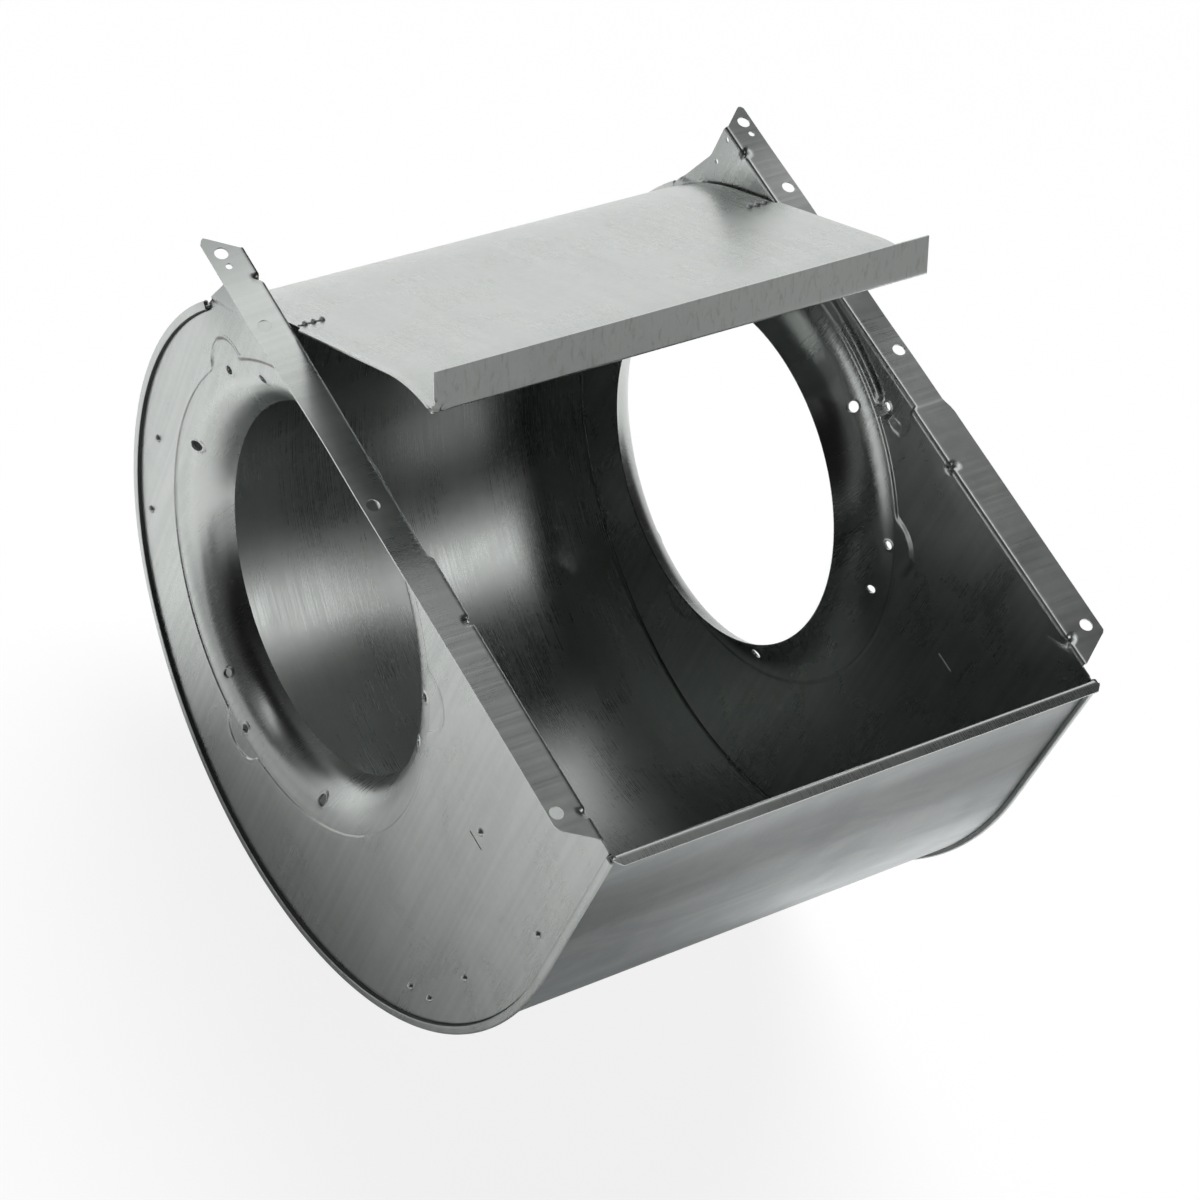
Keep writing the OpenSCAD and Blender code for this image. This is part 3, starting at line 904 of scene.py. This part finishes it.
def from_point(tree, y, z, point):
    """Steps dy, dz from a point to the place (y, z), and the distance sqrt(dy^2 + dz^2)."""
    dy, dz = (maths(tree, "SUBTRACT", value, float(part)) for value, part in zip((y, z), point))
    return dy, dz, maths(tree, "SQRT", maths(tree, "MULTIPLY_ADD", dy, dy, times(tree, dz, dz)))



# %% Ramps, bands, noise and colour
def ramp(tree, value, low, high, to_low=0.0, to_high=1.0):
    """Smooth step of a value from low to high, mapped to to_low..to_high."""
    node = tree.nodes.new("ShaderNodeMapRange")
    node.interpolation_type = "SMOOTHSTEP"
    for name, v in (("From Min", low), ("From Max", high), ("To Min", to_low), ("To Max", to_high)):
        node.inputs[name].default_value = v
    tree.links.new(value, node.inputs["Value"])
    return node.outputs[0]


def band(tree, value, start, full, fading, end):
    """1 from full to fading, 0 before start and after end, with a smooth step on both sides."""
    return times(tree, ramp(tree, value, start, full), ramp(tree, value, end, fading))


def noise(tree, vector, scale, detail=2.0, rough=0.5, warp=0.0):
    """Noise texture on a vector; returns its value."""
    node = tree.nodes.new("ShaderNodeTexNoise")
    for name, v in (("Scale", scale), ("Detail", detail), ("Roughness", rough), ("Distortion", warp)):
        node.inputs[name].default_value = v
    tree.links.new(vector, node.inputs["Vector"])
    return node.outputs["Fac"]


def scaled(tree, vector, factors, turn=(0.0, 0.0, 0.0)):
    """Mapping node that turns a vector and multiplies it by the factors."""
    node = tree.nodes.new("ShaderNodeMapping")
    node.inputs["Scale"].default_value = factors
    node.inputs["Rotation"].default_value = turn
    tree.links.new(vector, node.inputs["Vector"])
    return node.outputs[0]


def tint(tree, factor, low, high, blend="MIX"):
    """Colour between two colours by a factor; with blend MULTIPLY, low times high by that factor."""
    node = tree.nodes.new("ShaderNodeMix")
    node.data_type, node.blend_type = "RGBA", blend
    for value, socket in ((factor, 0), (low, 6), (high, 7)):
        feed(tree, value, node.inputs[socket])
    return node.outputs[2]


def new_group(name, *outputs):
    """Empty shader group with one input, Vector, and the named outputs, each a plain value."""
    tree = bpy.data.node_groups.new(name, "ShaderNodeTree")
    tree.interface.new_socket(name="Vector", in_out="INPUT", socket_type="NodeSocketVector")
    for title in outputs:
        tree.interface.new_socket(name=title, in_out="OUTPUT", socket_type="NodeSocketFloat")
    start, end = tree.nodes.new("NodeGroupInput"), tree.nodes.new("NodeGroupOutput")
    return tree, start.outputs["Vector"], end.inputs


# %% Group: zinc crystals and clouds
def make_zinc_group():
    """Cloud: slow patches of a few centimetres. Mottle: the crystals of the coating, 3 to 8 mm.
    Grain: about 1 mm. Each runs from 0 to 1 about 0.5."""
    tree, place, out = new_group("zinc_coating", "Cloud", "Mottle", "Grain")
    for name, scale, detail, rough, warp, low, high in (
            ("Cloud", 17.0, 4.0, 0.55, 0.6, 0.30, 0.70),
            ("Mottle", 210.0, 4.0, 0.62, 0.3, 0.32, 0.68),
            ("Grain", 1150.0, 2.0, 0.6, 0.0, 0.30, 0.70)):
        pattern = noise(tree, place, scale, detail, rough, warp)
        tree.links.new(ramp(tree, pattern, low, high), out[name])
    return tree


ZINC_GROUP = make_zinc_group()
print(ZINC_GROUP.name, "has", len(ZINC_GROUP.nodes), "nodes")


# %% Group: mill lines
def make_lines_group():
    """Fine lines along the second axis of the vector, each pattern a noise that is squeezed along
    the first. Hair: under 1 mm apart. Chatter: bands about 4 mm apart that come and go. Streak:
    broad ones, about 15 mm apart."""
    tree, place, out = new_group("mill_lines", "Hair", "Chatter", "Streak")
    for name, squeeze, detail, rough, warp, low, high in (
            ("Hair", (1200.0, 13.0, 1.0), 3.0, 0.55, 0.0, 0.28, 0.72),
            ("Chatter", (230.0, 6.0, 1.0), 2.0, 0.4, 0.1, 0.34, 0.66),
            ("Streak", (60.0, 4.5, 1.0), 4.0, 0.6, 0.3, 0.32, 0.68)):
        pattern = noise(tree, scaled(tree, place, squeeze), 1.0, detail, rough, warp)
        tree.links.new(ramp(tree, pattern, low, high), out[name])
    return tree


LINES_GROUP = make_lines_group()
print(LINES_GROUP.name, "has", len(LINES_GROUP.nodes), "nodes")

# %% [markdown]
# ## Painted highlights on the crowns and painted shade in the folds
# The crown of a rolled rim gets a painted highlight, and its foot painted shade. The Bevel node and the
# Geometry node's pointiness can't be relied on for a very thin sheet, so such masks are placed by
# distance: to the scroll line for the rolled rim, and to the sheet's own edges for the wrap.

# %% Group: distance to the scroll line
def make_rim_group():
    """Distance of a place (y, z) outside the scroll line in millimetres: |p - C2| - R2 on the upper
    arc's side of the joint, |p - C1| - R1 on the other, and -y - PANEL_Y above C1 on the panel.
    A mask of 0 or 1 picks between two distances a and b as a + mask (b - a)."""
    tree, place, out = new_group("rim_distance", "Out")
    _, y, z = split_up(tree, place)
    y, z = times(tree, y, 1 / MM), times(tree, z, 1 / MM)
    dy1, dz1, r1 = from_point(tree, y, z, C1)
    dy2, dz2, r2 = from_point(tree, y, z, C2)
    lower, upper = maths(tree, "SUBTRACT", r1, R1), maths(tree, "SUBTRACT", r2, R2)
    front = maths(tree, "MULTIPLY_ADD", y, -1.0, -PANEL_Y)
    turn = unit(JOIN + 90)
    ahead = sum_of(tree, 0.0, (float(turn[0]), dy2), (float(turn[1]), dz2))
    on_upper = maths(tree, "GREATER_THAN", ahead, 0.0)
    on_panel = times(tree, maths(tree, "GREATER_THAN", dz1, 0.0), maths(tree, "LESS_THAN", dy1, 0.0))
    result = sum_of(tree, lower, (maths(tree, "SUBTRACT", upper, lower), on_upper))
    result = sum_of(tree, result, (maths(tree, "SUBTRACT", front, result), on_panel))
    tree.links.new(result, out["Out"])
    return tree


RIM_GROUP = make_rim_group()
print(RIM_GROUP.name, "has", len(RIM_GROUP.nodes), "nodes")


# %% Helpers for the finishes
DARK_ZINC, PALE_ZINC = (0.437, 0.461, 0.447), (0.632, 0.656, 0.637)
RELIEF = 0.00002                 # depth of the bump in metres


def place_group(tree, group, vector):
    """One use of a group, fed with a vector."""
    node = tree.nodes.new("ShaderNodeGroup")
    node.node_tree = group
    tree.links.new(vector, node.inputs["Vector"])
    return node.outputs


def new_finish(name):
    """Material with a metallic Principled shader; returns material, tree, shader."""
    mat = bpy.data.materials.new(name)
    mat.use_nodes = True
    bsdf = mat.node_tree.nodes["Principled BSDF"]
    bsdf.inputs["Metallic"].default_value = 1.0
    return mat, mat.node_tree, bsdf


def finish_with(tree, bsdf, colour, rough, relief):
    """Feed the shader: its colour, its roughness, and a bump of RELIEF times the relief."""
    tree.links.new(colour, bsdf.inputs["Base Color"])
    tree.links.new(rough, bsdf.inputs["Roughness"])
    node = tree.nodes.new("ShaderNodeBump")
    node.inputs["Distance"].default_value, node.inputs["Strength"].default_value = RELIEF, 1.0
    tree.links.new(relief, node.inputs["Height"])
    tree.links.new(node.outputs[0], bsdf.inputs["Normal"])


print("zinc runs from", DARK_ZINC, "to", PALE_ZINC)

# %% [markdown]
# ## Finish of the side plates
# The plates were cut with the mill lines running up and down, along Z. The press has polished the
# turned inlet and rubbed the lines out of it. Light and shade are painted into the colour: a painted
# highlight on the inlet's side towards +y and along the rim's crown, painted shade on the inlet's lower
# end and on the ear, and dark lines of painted shade in the sharpest folds: at the rim's foot, and
# along the ring's edge, strongest beside the ear. Each of these is a mask, a smooth step of a place or
# a distance, so no picture is needed for it.

# %% Masks of the side plates
EAR_LOBE = (0.1195, 0.067)       # centre of the lobe beside the ear, in metres
SEAM_TOP = 0.0875                # the rolled rim ends here; above it the ear is a plain cut edge
# painted shade: darker tones for the ear, the inlet's lower end, the crease at the rim's foot and the
# ring's step
EAR_SHADE, LOW_DISH_SHADE = (0.29, 0.31, 0.30), (0.19, 0.20, 0.195)
RIM_CREASE_SHADE, RING_STEP_SHADE = (0.03, 0.03, 0.03), (0.10, 0.095, 0.09)


def plate_masks(tree, place, y, z):
    """Masks from 0 to 1 on a side plate. Places and distances are in metres, and only beyond, the
    distance outside the scroll line, is in millimetres."""
    beyond = place_group(tree, RIM_GROUP, place)["Out"]
    radius = from_point(tree, y, z, (0.0, 0.0))[2]
    below = times(tree, maths(tree, "LESS_THAN", y, 0.0), maths(tree, "LESS_THAN", z, FOOT * MM))
    seam = maths(tree, "MAXIMUM", below, maths(tree, "LESS_THAN", z, SEAM_TOP))
    ring = maths(tree, "ABSOLUTE", maths(tree, "SUBTRACT", radius, RING_R * MM))
    lobe = from_point(tree, y, z, EAR_LOBE)[2]
    lobe = maths(tree, "ABSOLUTE", maths(tree, "SUBTRACT", lobe, LOBE_R * MM))
    pressed = ramp(tree, radius, 0.134, 0.128)
    lobe_fold = times(tree, ramp(tree, lobe, 0.0016, 0.0005), ramp(tree, z, 0.070, 0.078),
                      ramp(tree, radius, 0.1415, 0.143))
    ring_fold = times(tree, ramp(tree, ring, 0.0016, 0.0005), ramp(tree, z, 0.081, 0.086),
                      ramp(tree, y, 0.045, 0.075))
    # bright and crown mark painted highlights; low dish, ear, crease, ring and fold mark painted shade
    return {"pressed": pressed,
            "bright": times(tree, pressed, ramp(tree, y, 0.075, 0.115)),
            "low dish": times(tree, ramp(tree, radius, 0.140, 0.131), ramp(tree, z, -0.07, -0.115)),
            "ear": times(tree, ramp(tree, y, 0.10, 0.15), ramp(tree, z, 0.06, 0.12)),
            "crease": times(tree, band(tree, beyond, -1.95, -1.65, -1.0, -0.8), seam),
            "crown": times(tree, band(tree, beyond, -0.4, 0.4, 2.4, 3.4), seam),
            "ring": ramp(tree, ring, 0.0009, 0.0002),
            "fold": maths(tree, "MAXIMUM", lobe_fold, ring_fold)}


# %% Side plate finish
def plate_finish():
    """Zinc between the dark and the pale tone by a sum of patterns, with painted highlights on the
    rim's crown and the inlet; painted shade is tinted over the ear, the inlet's lower end and the
    folds, and the clouds and the creases make it rougher."""
    mat, tree, bsdf = new_finish("plate_zinc")
    place = tree.nodes.new("ShaderNodeTexCoord").outputs["Object"]
    _, y, z = split_up(tree, place)
    flat = tree.nodes.new("ShaderNodeCombineXYZ")
    tree.links.new(y, flat.inputs[0])
    tree.links.new(z, flat.inputs[1])
    zinc, lines = place_group(tree, ZINC_GROUP, place), place_group(tree, LINES_GROUP, flat.outputs[0])
    mask = plate_masks(tree, place, y, z)
    chatter = times(tree, lines["Chatter"], maths(tree, "SUBTRACT", 1.0, mask["pressed"]))
    # painted highlights: the crown term lightens the rim's crown, the bright term the inlet's side
    # towards +y
    tone = sum_of(tree, 0.21, (0.20, zinc["Cloud"]), (0.10, zinc["Mottle"]), (0.08, zinc["Grain"]),
                  (0.20, chatter), (0.08, lines["Streak"]), (0.12, mask["crown"]),
                  (0.40, mask["bright"]))
    colour = tint(tree, tone, DARK_ZINC, PALE_ZINC)
    # painted shade: a patchy dark line along the ring's step, and darker folds of the ring and the lobe
    # beside the ear
    ring_line_shade = times(tree, mask["ring"], zinc["Cloud"], 0.35)
    ring_and_fold_shade = maths(tree, "MAXIMUM", ring_line_shade, times(tree, mask["fold"], 0.8))
    # painted shade: the ear, the inlet's lower end, the crease at the rim's foot and the ring's step
    # are tinted darker
    for amount, shade in ((times(tree, mask["ear"], 0.8), EAR_SHADE),
                          (times(tree, mask["low dish"], 0.7), LOW_DISH_SHADE),
                          (times(tree, mask["crease"], 0.9), RIM_CREASE_SHADE), (ring_and_fold_shade, RING_STEP_SHADE)):
        colour = tint(tree, amount, colour, shade)
    rough = sum_of(tree, 0.245, (0.06, zinc["Cloud"]), (0.01, zinc["Mottle"]), (0.03, lines["Hair"]),
                   (-0.03, mask["pressed"]), (0.25, mask["crease"]))
    relief = sum_of(tree, 0.0, (0.03, zinc["Mottle"]), (0.03, zinc["Grain"]), (0.04, lines["Hair"]),
                    (1.10, chatter))
    finish_with(tree, bsdf, colour, rough, relief)
    return mat


PLATE_ZINC = plate_finish()
print(PLATE_ZINC.name, "has", len(PLATE_ZINC.node_tree.nodes), "nodes")

# %% [markdown]
# ## Finish of the wrap
# The wrap is one long sheet, so its mill lines run along it, round the scroll. Its UV map says how far
# along the sheet a place is, and so which stretch it belongs to: the front panel is smudged and
# darkened by painted shade, darkest at its middle height, the lip is lightened by a painted reflection
# and mottled with stains, and the cut edges at both sides shine.

# %% Masks of the wrap
PANEL_BAND = 0.0125, 0.014, 0.248, 0.328         # along the sheet, in metres
STAIN = (0.33, 0.34, 0.31)
# the panel's smudged tones; their low level is painted shade
SMUDGED_SHADED_PANEL = (0.47, 0.48, 0.50), (0.57, 0.575, 0.59)


def wrap_masks(tree, across, along):
    """Masks from 0 to 1 on the wrap, by the metres across and along the sheet. The pale lip is a
    painted reflection that grows towards +x. The last one says how pale the panel is along its height,
    as painted
    shade: it is lowest about the middle."""
    lip = ramp(tree, along, LIP_START * MM, (LIP_START + 1.5) * MM)
    return {"panel": band(tree, along, *PANEL_BAND), "lip": lip,
            "pale lip": times(tree, lip, ramp(tree, across, -0.12, 0.16)),
            "edge": ramp(tree, maths(tree, "ABSOLUTE", across), 0.1612, 0.1629),
            "pale panel": sum_of(tree, 0.52, (-0.21, ramp(tree, along, 0.028, 0.058)),
                                 (0.17, ramp(tree, along, 0.082, 0.115)),
                                 (0.40, ramp(tree, along, 0.115, 0.175)))}


# %% Wrap finish
def wrap_finish():
    """Zinc by a sum of patterns, paler on the lip by a painted reflection; the panel is multiplied by a
    smudged tone darkened by painted shade, and the lip is stained in spots."""
    mat, tree, bsdf = new_finish("wrap_zinc")
    place = tree.nodes.new("ShaderNodeTexCoord").outputs["Object"]
    node = tree.nodes.new("ShaderNodeUVMap")
    node.uv_map = "sheet"
    sheet = node.outputs[0]
    across, along, _ = split_up(tree, sheet)
    zinc, lines = place_group(tree, ZINC_GROUP, place), place_group(tree, LINES_GROUP, sheet)
    mask = wrap_masks(tree, across, along)
    # painted reflection: the lip and pale lip terms lighten the tongue's lip, more towards +x
    tone = sum_of(tree, 0.22, (0.18, zinc["Cloud"]), (0.12, zinc["Mottle"]), (0.08, zinc["Grain"]),
                  (0.14, lines["Hair"]), (0.14, lines["Streak"]), (0.10, mask["edge"]),
                  (0.25, mask["lip"]), (0.45, mask["pale lip"]))
    colour = tint(tree, tone, DARK_ZINC, PALE_ZINC)
    smudge = noise(tree, scaled(tree, sheet, (9.0, 26.0, 1.0), (0.0, 0.0, 0.5)), 1.0, 5.0, 0.6, 1.4)
    # smudged tone, darkened by painted shade that is deepest at the panel's middle height
    smudged_panel_shade = tint(tree, ramp(tree, smudge, 0.36, 0.64), *SMUDGED_SHADED_PANEL)
    pale = tint(tree, mask["pale panel"], (0.0, 0.0, 0.0), (2.0, 2.0, 2.0))
    smudged_panel_shade = tint(tree, 1.0, smudged_panel_shade, pale, "MULTIPLY")
    colour = tint(tree, mask["panel"], colour, smudged_panel_shade, "MULTIPLY")
    stain = noise(tree, scaled(tree, sheet, (300.0, 90.0, 1.0)), 1.0, 4.0, 0.65, 0.8)
    stain = times(tree, ramp(tree, stain, 0.50, 0.72), mask["lip"], 0.45)
    colour = tint(tree, stain, colour, STAIN)
    rough = sum_of(tree, 0.235, (0.05, zinc["Cloud"]), (0.01, zinc["Mottle"]), (0.05, lines["Hair"]),
                   (0.09, mask["panel"]), (0.06, mask["lip"]))
    relief = sum_of(tree, 0.0, (0.03, zinc["Mottle"]), (0.03, zinc["Grain"]), (0.12, lines["Hair"]),
                    (0.14, lines["Chatter"]))
    finish_with(tree, bsdf, colour, rough, relief)
    return mat


WRAP_ZINC = wrap_finish()
print(WRAP_ZINC.name, "has", len(WRAP_ZINC.node_tree.nodes), "nodes")

# %% [markdown]
# ## Bodies and nodes
# Nothing moves on an empty housing, so all three pieces ride on the one body of the model. Each
# takes the place of its plain solid, and gets its own finish.

# %% Give every piece its finish
for obj, node, finish in ((left_plate, "left_side_plate", PLATE_ZINC),
                          (right_plate, "right_side_plate", PLATE_ZINC),
                          (scroll_wrap, "scroll_wrap", WRAP_ZINC)):
    obj.data.materials.clear()
    obj.data.materials.append(finish)
    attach(obj, "root")
    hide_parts(node)
    print(obj.name, "replaces", node)

# %% [markdown]
# ## Floor
# The housing stands on plain white paper. Its shader is part matt paper, which takes the shadow, and
# part glow for the camera's own rays, so that the ground looks white without more light on the metal.

# %% Floor
floor_z = cad_box[0][2] - 0.0003
bm = bmesh.new()
bmesh.ops.create_grid(bm, x_segments=1, y_segments=1, size=1.3,
                      matrix=Matrix.Translation([0.15, 0.1, floor_z]))
floor = from_bmesh("floor", bm)
floor_mat = bpy.data.materials.new("paper_floor")
floor_mat.use_nodes = True
paper = floor_mat.node_tree
shade = paper.nodes["Principled BSDF"]
shade.inputs["Base Color"].default_value = (0.93, 0.93, 0.93, 1)
shade.inputs["Roughness"].default_value = 0.9
ray = paper.nodes.new("ShaderNodeLightPath").outputs
glow = sum_of(paper, 0.0, (0.85, ray["Is Camera Ray"]), (0.06, ray["Is Glossy Ray"]),
              (0.06, ray["Is Transmission Ray"]))
blend = paper.nodes.new("ShaderNodeMixShader")
for output, socket in ((glow, 0), (shade.outputs[0], 1),
                       (paper.nodes.new("ShaderNodeEmission").outputs[0], 2)):
    paper.links.new(output, blend.inputs[socket])
paper.links.new(blend.outputs[0], paper.nodes["Material Output"].inputs["Surface"])
floor.data.materials.append(floor_mat)
print("floor at z", round(floor_z, 4))

# %% [markdown]
# ## Studio
# Bare metal shows the room more than its own colour, so the room is what makes it look right. It is
# painted on the world as soft masks of the direction (x, y, z): bright where the photograph's metal
# mirrors a window, dim where it mirrors the dark side of the studio.

# %% World
def studio_world(window, low, high, left, front):
    """Soft studio: a window wall behind and to the right, a dim room whose level falls from low at
    the horizon to high overhead, a softer wall on the left, a pale card low in front, and a bright
    pane high up at the back. The camera itself sees plain white paper behind the floor."""
    world = bpy.data.worlds.new("studio")
    bpy.context.scene.world = world
    world.use_nodes = True
    tree = world.node_tree
    x, y, z = split_up(tree, tree.nodes.new("ShaderNodeTexCoord").outputs["Generated"])
    back = ramp(tree, maths(tree, "MULTIPLY_ADD", y, 1.3, times(tree, x, -1.0)), -0.04, 0.22)
    lit = times(tree, back, ramp(tree, x, -0.45, 0.25))
    west = times(tree, ramp(tree, x, -0.2, -0.9), ramp(tree, z, 0.75, 0.1))
    card = times(tree, ramp(tree, y, -0.55, -0.9), ramp(tree, z, 0.5, 0.1))
    level = sum_of(tree, ramp(tree, z, 0.0, 0.6, low, high), (left, west), (front, card))
    level = times(tree, level, maths(tree, "SUBTRACT", 1.0, lit))
    above = sum_of(tree, times(tree, z, 0.895), (0.42, y), (0.15, x))
    level = sum_of(tree, level, (window, lit), (0.6 * window, ramp(tree, above, 0.974, 0.994)))
    seen = tree.nodes.new("ShaderNodeLightPath").outputs["Is Camera Ray"]
    level = times(tree, level, maths(tree, "SUBTRACT", 1.0, seen))
    out = tree.nodes["Background"]
    tree.links.new(sum_of(tree, level, (0.97, seen)), out.inputs["Strength"])
    out.inputs["Color"].default_value = (1, 1, 1, 1)
    return world


studio = studio_world(window=1.0, low=0.045, high=0.010, left=0.12, front=0.42)
print("world has", len(studio.node_tree.nodes), "nodes")

# %% [markdown]
# ## Lamps
# Two soft boxes put the long highlights on the panel and the left flange. A wide sun lights the
# floor alone, through light linking, so that the housing stands in a soft shadow of its own.

# %% Lamps
def soft_lamp(name, place, aim, width, depth, power):
    """Area lamp of the given size at place, turned so that it shines towards aim."""
    data = bpy.data.lights.new(name, "AREA")
    data.shape, data.size, data.size_y, data.energy = "RECTANGLE", width, depth, power
    obj = bpy.data.objects.new(name, data)
    bpy.context.scene.collection.objects.link(obj)
    place, aim = np.array(place, float), np.array(aim, float)
    back = (place - aim) / np.linalg.norm(place - aim)
    side = np.cross([0.0, 0.0, 1.0], back)
    side = side / np.linalg.norm(side) if np.linalg.norm(side) > 1e-6 else np.array([1.0, 0.0, 0.0])
    m = np.eye(4)
    m[:3, 0], m[:3, 1], m[:3, 2], m[:3, 3] = side, np.cross(back, side), back, place
    obj.matrix_world = Matrix(m.tolist())
    return obj


floor_only = bpy.data.collections.new("floor_only")
floor_only.objects.link(floor)
sun = bpy.data.lights.new("sun", "SUN")
sun.energy, sun.angle = 3.2, np.radians(44)
sun_obj = bpy.data.objects.new("sun", sun)
bpy.context.scene.collection.objects.link(sun_obj)
sun_obj.matrix_world = Vector((0.37, 0.50, 0.78)).to_track_quat("Z", "Y").to_matrix().to_4x4()
sun_obj.light_linking.receiver_collection = floor_only
soft_lamp("overhead_box", (0.77, -0.87, 1.21), (0, 0, 0), 0.6, 0.42, 1.7)
soft_lamp("west_box", (-1.36, 0.68, 0.52), (0, 0, 0), 0.2, 0.6, 0.8)

# %% [markdown]
# ## Camera
# The camera stands where the photograph was taken from. Its place, turn and focal length were solved
# from round holes and matching corners, whose true places on the part are known.

# %% Camera
PHOTO_PIXELS, FOCAL_PIXELS, SENSOR = 1200, 3715.717, 36.0
camera_data = bpy.data.cameras.new("camera")
camera = bpy.data.objects.new("camera", camera_data)
bpy.context.scene.collection.objects.link(camera)
camera_data.sensor_width, camera_data.lens = SENSOR, FOCAL_PIXELS / PHOTO_PIXELS * SENSOR
camera_data.clip_start, camera_data.clip_end = 0.05, 30.0
camera.matrix_world = Matrix((
    (0.822092, 0.264534, -0.504168, -1.095125),
    (-0.486396, 0.786587, -0.380395, -0.896085),
    (0.295944, 0.557945, 0.775315, 1.704973),
    (0.0, 0.0, 0.0, 1.0)))
bpy.context.scene.camera = camera
bpy.context.scene.view_settings.view_transform = "Standard"
print("lens:", round(camera_data.lens, 1), "mm")
